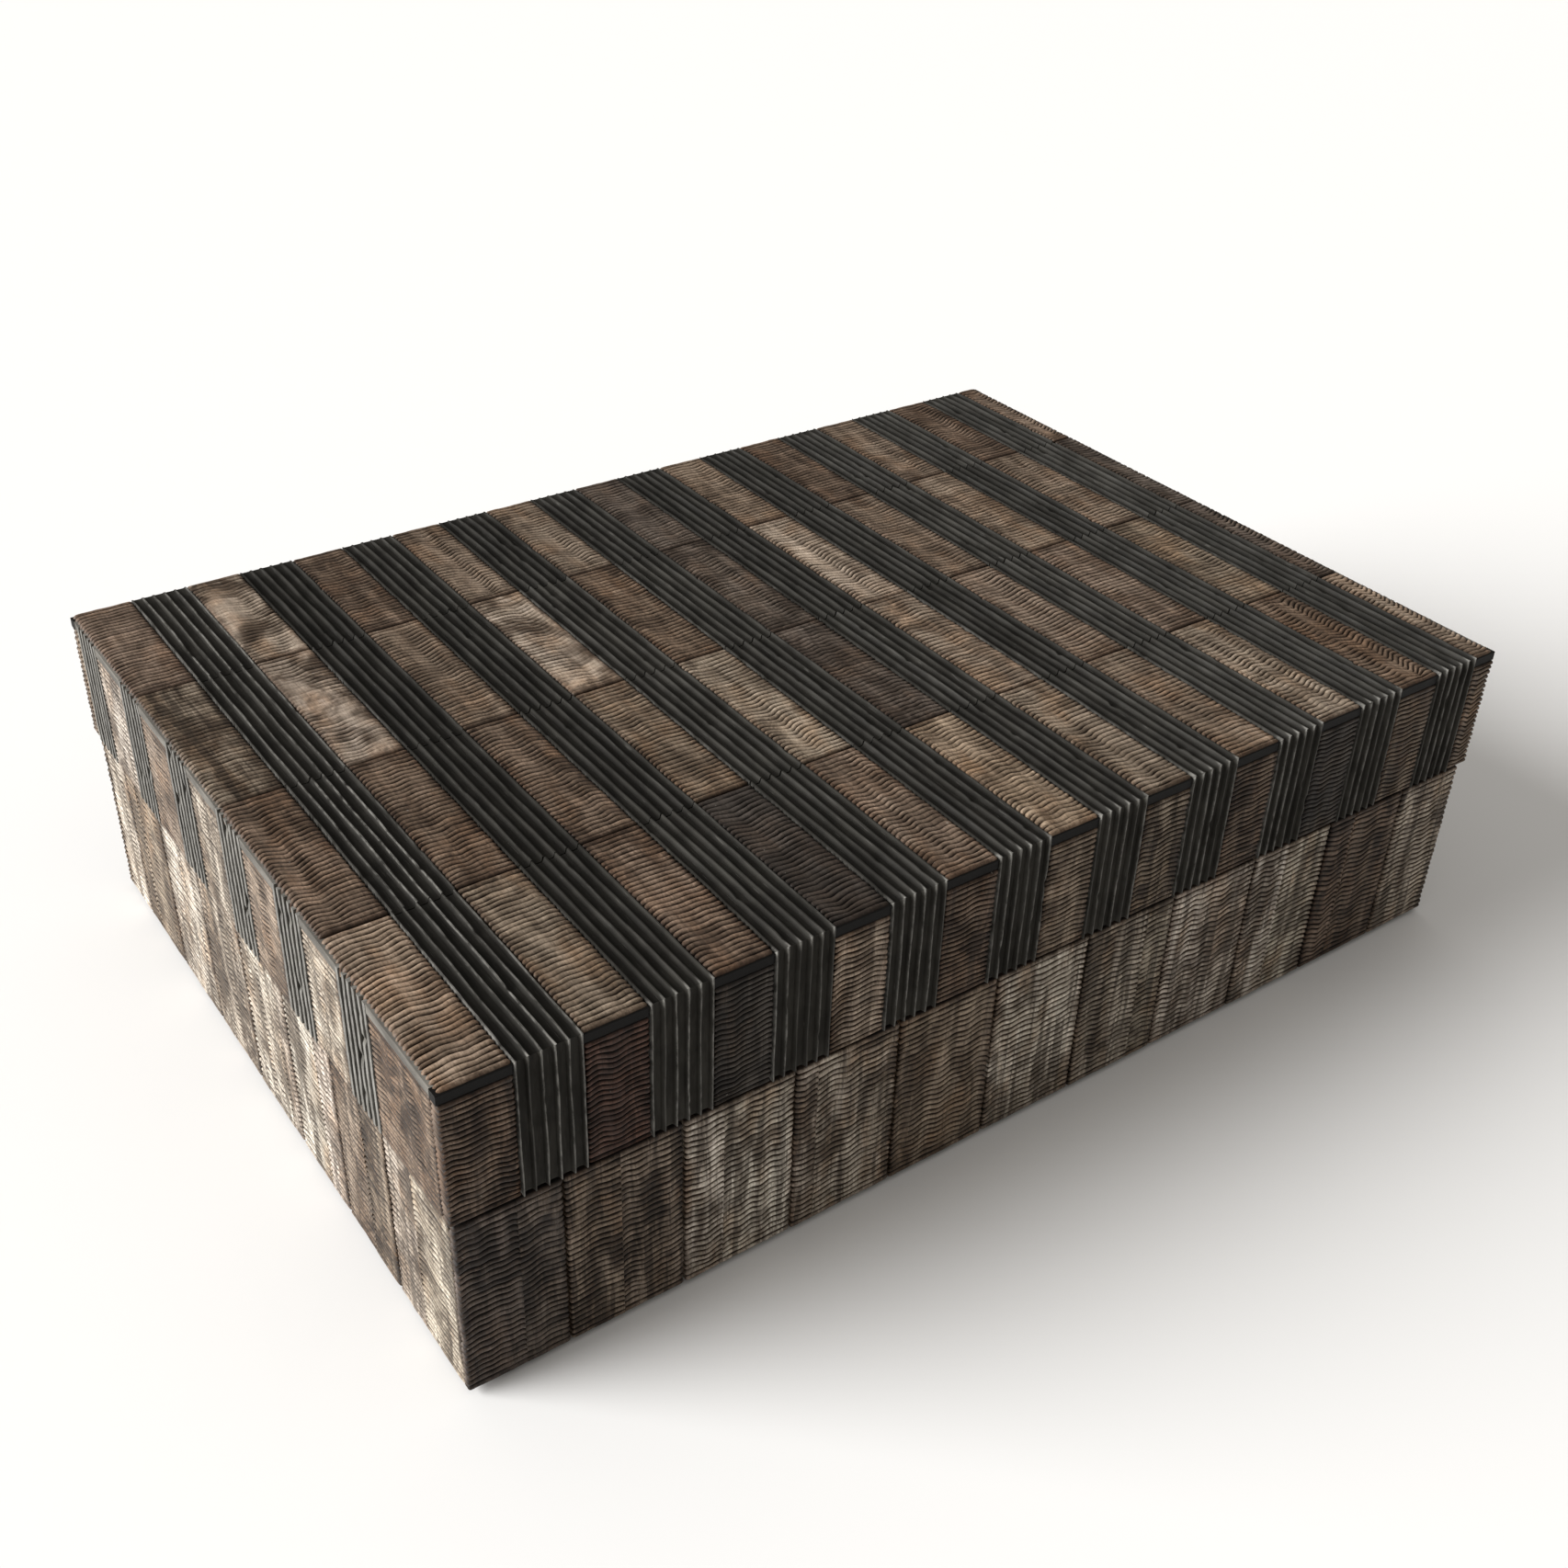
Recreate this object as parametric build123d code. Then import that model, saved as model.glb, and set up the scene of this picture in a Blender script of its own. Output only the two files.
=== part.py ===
from build123d import *
import os

# Horn and resin covered box with a hinged lid.  Millimetres, +Z up, front face towards -Y.
# The origin is the centre of the underside.

# Outside of the closed box, over the lid plates
LENGTH = 305.0
WIDTH = 213.0
HEIGHT = 86.5

# Horn and resin plates glued on the wood
LID_PLATE = 3.2
BASE_PLATE = 2.2
GLUE_GAP = 0.1
TILE_JOINT = 0.3

# Wooden carcass
WALL = 9.0
PANEL = 6.0
FELT = 1.0
FOOT_INSET = 6.0
BASE_TOP = 50.1
LID_BOTTOM = 50.9

# Carved ribs of the horn: distance from rib to rib and groove depth
TOP_RIB = 1.62
LID_SIDE_RIB = 1.38
BASE_RIB = 1.62
GROOVE_DEPTH = 0.6

# Resin bands: six sharp fins side by side
FINS = 6
FIN_DEPTH = 1.1
FIN_TIP = 0.4

# Bands across the lid, measured from the left edge, and along its ends, from the front edge
FIRST_BAND = 16.0
BAND_PITCH = 29.56
BAND_WIDTH = 14.6
BANDS = 10
END_FIRST_BAND = 31.0
END_BAND_PITCH = 32.5
END_BAND_WIDTH = 14.0
END_BANDS = 6
TOP_TILE_LENGTHS = (53.6, 55.0, 55.4, 49.0)

# Resin strip that closes the ends of the top plates
EDGE_STRIP = 1.0

# How far a cutting shape runs past what it cuts
CUT_SPARE = 1.0

# Horn tiles of the base, from the left edge on the long sides and from the front on the ends.  A row ends
# with one longer tile where less than this many tiles' length is left.
BASE_FIRST_TILE = 24.4
BASE_TILE = 28.4
END_FIRST_TILE = 34.0
END_TILE = 26.6
LAST_TILE_SHARE = 1.2

# Butt hinges on the back
HINGE_X = 95.0
HINGE_WIDTH = 38.0
HINGE_BACK = 2.6
LEAF_THICK = 1.2
LEAF_GAP = 0.1
LEAF_FRONT = 95.3
KNUCKLES = 5
KNUCKLE_R = 2.2
KNUCKLE_GAP = 0.1
KNUCKLE_ROOM = 0.2
PIN_R = 1.0
PIN_PLAY = 0.04
PIN_HEAD_R = 1.5
PIN_HEAD = 0.7

# Countersunk hinge screws
SCREWS = 3
SCREW_SPACING = 12.0
SCREW_HEAD_R = 2.1
SCREW_R = 1.1
SCREW_LENGTH = 8.0
SCREW_PLAY = 0.05
SCREW_SLOT = 0.5

# Worked-out sizes
CASE_X = LENGTH / 2 - LID_PLATE
CASE_Y = WIDTH / 2 - LID_PLATE
PANEL_TOP = FELT + PANEL
TOP_FACE = HEIGHT - LID_PLATE
CEILING = TOP_FACE - PANEL
AXIS_Y = WIDTH / 2 + HINGE_BACK
AXIS_Z = (BASE_TOP + LID_BOTTOM) / 2
SCREW_Y = CASE_Y - WALL / 2
X_DIR = Vector(1, 0, 0)
Y_DIR = Vector(0, 1, 0)
Z_DIR = Vector(0, 0, 1)

# Each side of the box: its outward direction and the direction along it
SIDES = {
    "front": (-Y_DIR, X_DIR),
    "back": (Y_DIR, X_DIR),
    "left": (-X_DIR, Y_DIR),
    "right": (X_DIR, Y_DIR),
}


def block(low, high):
    """Box between two corners."""
    size = [b - a for a, b in zip(low, high)]
    middle = [(a + b) / 2 for a, b in zip(low, high)]
    return Pos(*middle) * Box(*size)


def mitred_frame(half_x, half_y, thick, low, high):
    """Four boards that meet in mitres, by side name; half_x and half_y are the outside."""
    inner_x = half_x - thick
    inner_y = half_y - thick
    ends = {
        "front": ((-1, -1), (1, -1)),
        "back": ((-1, 1), (1, 1)),
        "left": ((-1, -1), (-1, 1)),
        "right": ((1, -1), (1, 1)),
    }
    boards = {}
    for side, (first, last) in ends.items():
        outer = [(x * half_x, y * half_y) for x, y in (first, last)]
        inner = [(x * inner_x, y * inner_y) for x, y in (last, first)]
        outline = Polygon(*outer, *inner, align=None)
        boards[side] = extrude(Pos(0, 0, low) * outline, amount=high - low, dir=Z_DIR)
    return boards


def rib_profile(run, thick, pitch):
    """Outline of a horn tile: a row of ridges with V grooves between them."""
    count = max(1, round(run / pitch))
    step = run / count
    points = [(0, 0), (0, thick - GROOVE_DEPTH)]
    for rib in range(count):
        points.append(((rib + 0.5) * step, thick))
        points.append(((rib + 1) * step, thick - GROOVE_DEPTH))
    points.append((run, 0))
    return points


def fin_profile(run, thick):
    """Outline of a resin band: six fins that rise to narrow tips, the first and last at its edges."""
    step = (run - FIN_TIP) / (FINS - 1)
    points = [(0, 0)]
    for fin in range(FINS):
        points.append((fin * step, thick))
        points.append((fin * step + FIN_TIP, thick))
        if fin < FINS - 1:
            points.append((fin * step + FIN_TIP / 2 + step / 2, thick - FIN_DEPTH))
    points.append((run, 0))
    return points


def plate(corner, repeat, out, width, profile):
    """Plate on a wall: the profile runs along repeat, rises along out and is width wide the third way."""
    across = repeat.cross(out)
    start = Vector(*corner)
    if across.X + across.Y + across.Z < 0:
        start = start - across * width
    plane = Plane(origin=start, x_dir=repeat, z_dir=across)
    return extrude(plane * Polygon(*profile, align=None), amount=width, dir=across)


def side_corner(side, along, height):
    """Point on the wooden wall's outside, given by its place along the wall and its height."""
    if side in ("front", "back"):
        return (along, -CASE_Y if side == "front" else CASE_Y, height)
    return (-CASE_X if side == "left" else CASE_X, along, height)


def horn_tile(side, first, last, low, high, thick, pitch):
    """Horn tile on a side wall, with level ribs."""
    out = SIDES[side][0]
    profile = rib_profile(high - low, thick, pitch)
    return plate(side_corner(side, first, low), Z_DIR, out, last - first, profile)


def resin_tile(side, first, last, low, high):
    """Resin band on a side wall of the lid, with upright fins."""
    out, along = SIDES[side]
    return plate(side_corner(side, first, low), along, out, high - low, fin_profile(last - first, LID_PLATE))


def band_edges(start, first, pitch, width, count):
    """Low and high edge of each resin band."""
    return [(start + first + k * pitch, start + first + k * pitch + width) for k in range(count)]


def spaces_between(bands, low, high):
    """Low and high edge of the horn between the resin bands, less the glue line."""
    edges = [low] + [edge + way * GLUE_GAP for band in bands for edge, way in zip(band, (-1, 1))] + [high]
    return list(zip(edges[0::2], edges[1::2]))


LONG_BANDS = band_edges(-LENGTH / 2, FIRST_BAND, BAND_PITCH, BAND_WIDTH, BANDS)
END_BANDS_AT = band_edges(-WIDTH / 2, END_FIRST_BAND, END_BAND_PITCH, END_BAND_WIDTH, END_BANDS)


def lid_side_layout(side):
    """Resin and horn stretches along one side of the lid."""
    if side in ("front", "back"):
        return LONG_BANDS, spaces_between(LONG_BANDS, -LENGTH / 2, LENGTH / 2)
    end = CASE_Y - GLUE_GAP
    return END_BANDS_AT, spaces_between(END_BANDS_AT, -end, end)


def base_side_layout(side):
    """Horn tiles along one side of the base."""
    if side in ("front", "back"):
        start, end = -CASE_X - BASE_PLATE, CASE_X + BASE_PLATE
        first, pitch = BASE_FIRST_TILE, BASE_TILE
    else:
        start, end = -CASE_Y + GLUE_GAP, CASE_Y - GLUE_GAP
        first, pitch = END_FIRST_TILE - LID_PLATE, END_TILE
    seams = [start]
    while seams[-1] + pitch * LAST_TILE_SHARE < end:
        seams.append(seams[-1] + (pitch if len(seams) > 1 else first))
    seams.append(end)
    tiles = []
    for low, high in zip(seams[:-1], seams[1:]):
        near = low + TILE_JOINT / 2 if low > start else low
        far = high - TILE_JOINT / 2 if high < end else high
        tiles.append((near, far))
    return tiles


def mitre_waste(sign, over_top):
    """Waste removed where a top fin and a side fin meet; sign is the side's way along Y."""
    outer_y = sign * (WIDTH / 2 + CUT_SPARE)
    inner_y = sign * (CASE_Y - CUT_SPARE)
    high = HEIGHT + CUT_SPARE
    low = TOP_FACE - CUT_SPARE
    third = (outer_y, low) if over_top else (inner_y, high)
    shift = GLUE_GAP / 2 if over_top else -GLUE_GAP / 2
    outline = Polygon((outer_y, high), (inner_y, low), third, align=None)
    plane = Plane(origin=(-LENGTH / 2, 0, shift), x_dir=(0, 1, 0), z_dir=(1, 0, 0))
    return extrude(plane * outline, amount=LENGTH, dir=X_DIR)


TOP_MITRES = [mitre_waste(sign, True) for sign in (-1, 1)]
SIDE_MITRES = {"front": mitre_waste(-1, False), "back": mitre_waste(1, False)}


def top_rows():
    """Front and back edge of each row of tiles on the lid."""
    rows = []
    edge = -WIDTH / 2
    for length in TOP_TILE_LENGTHS:
        rows.append((edge + TILE_JOINT / 2, edge + length - TILE_JOINT / 2))
        edge += length
    rows[0] = (-WIDTH / 2, rows[0][1])
    rows[-1] = (rows[-1][0], WIDTH / 2)
    return rows


def top_horn_band(low, high):
    """One horn band of the lid top: four tiles that stop at the resin edge strips."""
    limit_x = LENGTH / 2 - EDGE_STRIP - GLUE_GAP
    limit_y = WIDTH / 2 - EDGE_STRIP - GLUE_GAP
    low = max(low, -limit_x)
    high = min(high, limit_x)
    tiles = []
    for front, back in top_rows():
        front = max(front, -limit_y)
        back = min(back, limit_y)
        profile = rib_profile(back - front, LID_PLATE, TOP_RIB)
        tiles.append(plate((low, front, TOP_FACE), Y_DIR, Z_DIR, high - low, profile))
    return tiles


def top_resin_band(low, high):
    """One resin band of the lid top: four tiles, mitred at the front and back edges."""
    tiles = []
    for front, back in top_rows():
        tile = plate((low, front, TOP_FACE), X_DIR, Z_DIR, back - front, fin_profile(high - low, LID_PLATE))
        for waste in TOP_MITRES:
            tile = tile - waste
        tiles.append(tile)
    return tiles


def edge_strips():
    """Thin resin strips over the ends of the top plates."""
    outer_x = LENGTH / 2
    outer_y = WIDTH / 2
    strips = []
    for low, high in lid_side_layout("front")[1]:
        for sign in (-1, 1):
            near, far = sorted((sign * outer_y, sign * (outer_y - EDGE_STRIP)))
            strips.append(block((low, near, TOP_FACE), (high, far, HEIGHT)))
    end = outer_y - EDGE_STRIP - GLUE_GAP
    for sign in (-1, 1):
        near, far = sorted((sign * outer_x, sign * (outer_x - EDGE_STRIP)))
        strips.append(block((near, -end, TOP_FACE), (far, end, HEIGHT)))
    return strips


def hinge_xs():
    """Middle of each hinge."""
    return {"left": -HINGE_X, "right": HINGE_X}


def leaf_recess(part_of):
    """Room for both hinge leaves in the back wall and its plates."""
    if part_of == "base":
        low, high = AXIS_Z - LEAF_GAP - LEAF_THICK, BASE_TOP + CUT_SPARE
    else:
        low, high = LID_BOTTOM - CUT_SPARE, AXIS_Z + LEAF_GAP + LEAF_THICK
    back = WIDTH / 2 + CUT_SPARE
    rooms = []
    for x in hinge_xs().values():
        rooms.append(block((x - HINGE_WIDTH / 2, LEAF_FRONT, low), (x + HINGE_WIDTH / 2, back, high)))
    return rooms


def screw_places(part_of):
    """Middle of each screw head's top and the way that the screw points."""
    way = -1 if part_of == "base" else 1
    places = []
    for x in hinge_xs().values():
        for k in range(SCREWS):
            offset = (k - (SCREWS - 1) / 2) * SCREW_SPACING
            places.append((x + offset, SCREW_Y, AXIS_Z + way * LEAF_GAP, way))
    return places


def screw_shape(x, y, z, way, play):
    """Countersunk screw with its head's flat face at z; play widens it into the hole that it needs."""
    head = Cone(SCREW_R + play, SCREW_HEAD_R + play, LEAF_THICK)
    shank = Cylinder(SCREW_R + play, SCREW_LENGTH + play)
    head = Pos(x, y, z + way * LEAF_THICK / 2) * (head if way < 0 else Rot(180, 0, 0) * head)
    return head + Pos(x, y, z + way * (LEAF_THICK + (SCREW_LENGTH + play) / 2)) * shank


def screws(part_of):
    """Six slotted screws that hold the hinge leaves."""
    reach = SCREW_HEAD_R + CUT_SPARE
    half = SCREW_SLOT / 2
    made = []
    for x, y, z, way in screw_places(part_of):
        low, high = sorted((z, z + way * SCREW_SLOT))
        slot = block((x - reach, y - half, low), (x + reach, y + half, high))
        made.append(screw_shape(x, y, z, way, 0) - slot)
    return made


def back_wall(board, part_of):
    """Back board with its hinge mortises and screw holes."""
    for room in leaf_recess(part_of):
        board = board - room
    for place in screw_places(part_of):
        board = board - screw_shape(*place, SCREW_PLAY)
    return board


def hinge_leaf(x, part_of):
    """One leaf: flat plate, its share of the knuckles, a bore for the pin and three screw holes."""
    way = -1 if part_of == "base" else 1
    low, high = sorted((AXIS_Z + way * LEAF_GAP, AXIS_Z + way * (LEAF_GAP + LEAF_THICK)))
    leaf = block(
        (x - HINGE_WIDTH / 2, LEAF_FRONT, low),
        (x + HINGE_WIDTH / 2, AXIS_Y - KNUCKLE_R - KNUCKLE_ROOM, high),
    )
    length = (HINGE_WIDTH - (KNUCKLES - 1) * KNUCKLE_GAP) / KNUCKLES
    for k in range(KNUCKLES):
        own = (k % 2 == 0) == (part_of == "base")
        if not own:
            continue
        first = x - HINGE_WIDTH / 2 + k * (length + KNUCKLE_GAP)
        leaf = leaf + block((first, LEAF_FRONT, low), (first + length, AXIS_Y - PIN_R, high))
        leaf = leaf + Pos(first + length / 2, AXIS_Y, AXIS_Z) * Rot(0, 90, 0) * Cylinder(KNUCKLE_R, length)
    bore = Cylinder(PIN_R + PIN_PLAY, HINGE_WIDTH + 2 * CUT_SPARE)
    leaf = leaf - Pos(x, AXIS_Y, AXIS_Z) * Rot(0, 90, 0) * bore
    for place in screw_places(part_of):
        if abs(place[0] - x) < HINGE_WIDTH / 2:
            leaf = leaf - screw_shape(*place, SCREW_PLAY)
    return leaf


def hinge_pin(x):
    """Pin with a low head at each end."""
    pin = Cylinder(PIN_R, HINGE_WIDTH)
    for end in (-1, 1):
        pin = pin + Pos(0, 0, end * (HINGE_WIDTH + PIN_HEAD) / 2) * Cylinder(PIN_HEAD_R, PIN_HEAD)
    return Pos(x, AXIS_Y, AXIS_Z) * Rot(0, 90, 0) * pin


def base_parts():
    """Every piece that stays with the base."""
    made = {}
    foot_x = CASE_X - FOOT_INSET
    foot_y = CASE_Y - FOOT_INSET
    made["underside_felt"] = [block((-foot_x, -foot_y, 0), (foot_x, foot_y, FELT))]
    made["base_bottom_panel"] = [block((-CASE_X, -CASE_Y, FELT), (CASE_X, CASE_Y, PANEL_TOP))]
    for side, board in mitred_frame(CASE_X, CASE_Y, WALL, PANEL_TOP, BASE_TOP).items():
        made[f"base_{side}_wall"] = [back_wall(board, "base") if side == "back" else board]
    for side in SIDES:
        tiles = []
        for low, high in base_side_layout(side):
            tile = horn_tile(side, low, high, FELT, BASE_TOP, BASE_PLATE, BASE_RIB)
            if side == "back":
                for room in leaf_recess("base"):
                    tile = tile - room
            tiles.append(tile)
        made[f"base_horn_{side}"] = tiles
    inner_x = CASE_X - WALL
    inner_y = CASE_Y - WALL
    made["base_lining_floor"] = [block((-inner_x, -inner_y, PANEL_TOP), (inner_x, inner_y, PANEL_TOP + FELT))]
    lining = mitred_frame(inner_x, inner_y, FELT, PANEL_TOP + FELT, BASE_TOP)
    for side, sheet in lining.items():
        made[f"base_lining_{side}"] = [sheet]
    for name, x in hinge_xs().items():
        made[f"hinge_{name}_base_leaf"] = [hinge_leaf(x, "base")]
        made[f"hinge_{name}_pin"] = [hinge_pin(x)]
    made["base_hinge_screws"] = screws("base")
    return made


def lid_side_plates(side):
    """Horn tiles and resin bands of one side of the lid."""
    resin_at, horn_at = lid_side_layout(side)
    horn = []
    for low, high in horn_at:
        horn.append(horn_tile(side, low, high, LID_BOTTOM, TOP_FACE, LID_PLATE, LID_SIDE_RIB))
    resin = []
    for low, high in resin_at:
        tall = HEIGHT if side in SIDE_MITRES else TOP_FACE
        tile = resin_tile(side, low, high, LID_BOTTOM, tall)
        if side in SIDE_MITRES:
            tile = tile - SIDE_MITRES[side]
        resin.append(tile)
    if side == "back":
        for room in leaf_recess("lid"):
            horn = [tile - room for tile in horn]
            resin = [tile - room for tile in resin]
    return horn, resin


def lid_parts():
    """Every piece that turns with the lid."""
    made = {}
    made["lid_top_panel"] = [block((-CASE_X, -CASE_Y, CEILING), (CASE_X, CASE_Y, TOP_FACE))]
    for side, board in mitred_frame(CASE_X, CASE_Y, WALL, LID_BOTTOM, CEILING).items():
        made[f"lid_{side}_wall"] = [back_wall(board, "lid") if side == "back" else board]
    for number, (low, high) in enumerate(spaces_between(LONG_BANDS, -LENGTH / 2, LENGTH / 2), start=1):
        made[f"lid_top_horn_band_{number:02d}"] = top_horn_band(low, high)
    for number, (low, high) in enumerate(LONG_BANDS, start=1):
        made[f"lid_top_resin_band_{number:02d}"] = top_resin_band(low, high)
    for side in SIDES:
        horn, resin = lid_side_plates(side)
        made[f"lid_{side}_horn"] = horn
        made[f"lid_{side}_resin"] = resin
    made["lid_edge_resin"] = edge_strips()
    inner_x = CASE_X - WALL
    inner_y = CASE_Y - WALL
    made["lid_lining_ceiling"] = [block((-inner_x, -inner_y, CEILING - FELT), (inner_x, inner_y, CEILING))]
    made["lid_lining_walls"] = list(mitred_frame(inner_x, inner_y, FELT, LID_BOTTOM, CEILING - FELT).values())
    for name, x in hinge_xs().items():
        made[f"hinge_{name}_lid_leaf"] = [hinge_leaf(x, "lid")]
    made["lid_hinge_screws"] = screws("lid")
    return made


def write(node, shapes):
    """Write one node's solids to its own file."""
    solids = [solid for shape in shapes for solid in shape.solids()]
    export_step(Compound(children=solids) if len(solids) > 1 else solids[0], f"parts/{node}.step")


os.makedirs("parts", exist_ok=True)
for node, shapes in {**base_parts(), **lid_parts()}.items():
    write(node, shapes)
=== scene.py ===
import math

import bmesh
import bpy
import numpy as np
from mathutils import Matrix, Vector


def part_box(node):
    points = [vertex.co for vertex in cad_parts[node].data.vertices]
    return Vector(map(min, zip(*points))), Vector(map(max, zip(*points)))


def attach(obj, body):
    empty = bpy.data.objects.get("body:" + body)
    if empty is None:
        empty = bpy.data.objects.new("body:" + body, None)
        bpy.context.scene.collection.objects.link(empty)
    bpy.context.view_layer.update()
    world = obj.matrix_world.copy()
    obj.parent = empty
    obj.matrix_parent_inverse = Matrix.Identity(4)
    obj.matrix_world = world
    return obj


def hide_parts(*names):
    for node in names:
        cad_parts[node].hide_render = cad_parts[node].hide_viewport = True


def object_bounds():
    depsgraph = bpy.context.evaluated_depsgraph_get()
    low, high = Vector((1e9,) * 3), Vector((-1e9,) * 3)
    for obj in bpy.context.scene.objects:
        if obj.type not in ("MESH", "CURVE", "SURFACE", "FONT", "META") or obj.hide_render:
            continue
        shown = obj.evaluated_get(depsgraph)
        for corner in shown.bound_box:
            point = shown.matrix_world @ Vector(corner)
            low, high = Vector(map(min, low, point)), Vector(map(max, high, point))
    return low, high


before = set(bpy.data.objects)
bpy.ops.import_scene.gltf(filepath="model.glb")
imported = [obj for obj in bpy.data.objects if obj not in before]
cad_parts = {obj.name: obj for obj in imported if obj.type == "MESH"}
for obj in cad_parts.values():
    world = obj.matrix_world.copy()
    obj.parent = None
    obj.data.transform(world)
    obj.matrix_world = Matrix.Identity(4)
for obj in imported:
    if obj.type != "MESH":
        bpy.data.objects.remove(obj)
cad_low, cad_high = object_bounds()
scene = bpy.context.scene

# ---- Sizes ----
# The frame is in metres.  The carving works in millimetres and is scaled when it is meshed.
MM = 0.001
SEED = 7406


def corners(node):
    """Low and high corner of a CAD node in millimetres."""
    low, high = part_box(node)
    return np.array(low) / MM, np.array(high) / MM


CASE_X, CASE_Y, TOP_FACE = corners("lid_top_panel")[1]
HEIGHT = cad_high.z / MM
LID_BOTTOM = corners("lid_front_wall")[0][2]
BASE_BOTTOM = corners("base_bottom_panel")[0][2]
BASE_TOP = corners("base_front_wall")[1][2]
LID_PLATE = HEIGHT - TOP_FACE  # thickness of the lid's tiles
BASE_PLATE = corners("base_horn_right")[1][0] - CASE_X  # thickness of the base's tiles
HALF_LENGTH = CASE_X + LID_PLATE
HALF_WIDTH = CASE_Y + LID_PLATE
BASE_HALF = CASE_X + BASE_PLATE

# Layout that the frame's boxes don't give
BANDS = 10
TOP_TILE_LENGTHS = (53.6, 55.0, 55.4, 49.0)  # front row to back row
END_BANDS = 6
END_FIRST_BAND = 31.0  # from the lid's front face
END_BAND_PITCH = 32.5
END_BAND_WIDTH = 14.0
BASE_FIRST_TILE = 24.4
BASE_TILE = 28.4
END_FIRST_TILE = 30.8
END_TILE = 26.6
LAST_TILE_SHARE = 1.2  # a side's last tile may be this many times as wide as the others

# Joints, and how far the tiles stop short of their neighbours
GLUE_GAP = 0.12  # horn to resin
TILE_JOINT = 0.18  # tile to tile round the base
ROW_JOINT = 0.3  # row to row on the lid
FREE_END = 0.4  # side tiles, at the gap between lid and base
FOOT_END = 0.1  # bands of the lid at the gap, and the base's tiles at the bottom
END_INSET = 0.35  # outermost top bands, at the lid's ends
LIP_INSET = 0.6  # top bands, at the lid's front and back
LIP_LAP = 0.15  # side tiles end and edge strips start this far below the top panel's face
NOSE = 0.95  # edge strips end this far below the top of the lid
LIP_STRIP = 2.72  # how far the front and back edge strips stand off the walls
END_STRIP = 3.1  # the same at the lid's ends
TILE_SPREAD = 0.06  # the top's horn tiles differ in thickness by up to this
BASE_RELIEF = 0.02  # the base's tiles stay this far inside the CAD plates

# Ribs on the horn
TOP_RIB = 1.62  # rib pitches
LID_SIDE_RIB = 1.38
BASE_RIB = 1.62
RIB_DEPTH = 0.6
RIB_SAMPLES = np.array([0.0, 0.09, 0.25, 0.5, 0.77, 0.91])  # points from one groove's bottom to the next
EDGE_COLUMNS = np.array([0.0, 0.22, 0.55, 1.0])  # points near a tile's edge
COLUMN_STEP = 0.85  # distance between the others
CREST_LEVEL = 0.1  # crests lie this far below the tile's full thickness
SIDE_SWAY = 0.5  # how far side ribs stray, as a share of the top's
# The sides get more streaks and mottling by this share, and deeper painted shade in their grooves.
SIDE_GRIME_AND_SHADE = 1.6  # how dark and streaked the sides are, as a share of the top

# Worn edges: how far each drops, and how far in that starts
SIDE_ROUND = (0.36, 0.8)
END_ROUND = (0.4, 0.6)
OUTER_ROUND = (0.75, 1.7)
FELT_ROUND = (0.55, 0.8)

# Fins on the resin
FINS = 6
FIN_TIP = 0.28
FIN_DEPTH = 1.3
END_FIN_TIP = 1.15
END_FIN_DEPTH = 0.9
FIN_PROFILE = ((0.05, 0.50), (0.13, 0.94), (0.50, 1.0), (0.87, 0.94), (0.95, 0.50))  # a valley's shape
FIN_STEP = 1.3  # distance between points along a fin
CHIP_SPACING = 45.0  # average distance between the chips on one fin
BACK_MITRE = 0.12  # depth left in the valleys at the lid's back edge, as a share
MITRE_FADE = 5.0  # distance over which such valleys fill up

# Resin greys from 0 to 255, and the least and most that fin tips are lightened, from 0 to 1: partly wear,
# partly a painted highlight
# The one resin is given a different grey on each side as painted light: lighter on the front and back than
# on top and lightest on the brightly lit ends, and its edge strip near black at the front and back but grey
# on the ends.
TOP_GREY = 42
SIDE_GREY = 56
END_GREY = 78
LIP_GREY = 20
END_STRIP_GREY = 96
FIRST_RUB_AND_GLINT = (0.4, 1.0)
TOP_RUB_AND_GLINT = (0.0, 0.35)
SIDE_RUB_AND_GLINT = (0.2, 1.0)
END_RUB_AND_GLINT = (0.8, 1.0)

# Felt
FELT_STEP = 2.2  # distance between a sheet's points
FELT_SKIN = 0.02  # sheets stay this far inside the CAD sheets' thickness

X = np.array((1.0, 0.0, 0.0))
Y = np.array((0.0, 1.0, 0.0))
Z = np.array((0.0, 0.0, 1.0))
SHEET_AXES = {  # across, along and out of each side, and where its glue face is
    "top": (X, Y, Z, np.array((0.0, 0.0, TOP_FACE))),
    "front": (X, Z, -Y, np.array((0.0, -CASE_Y, 0.0))),
    "back": (-X, Z, Y, np.array((0.0, CASE_Y, 0.0))),
    "left": (-Y, Z, -X, np.array((-CASE_X, 0.0, 0.0))),
    "right": (Y, Z, X, np.array((CASE_X, 0.0, 0.0))),
}

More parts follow.
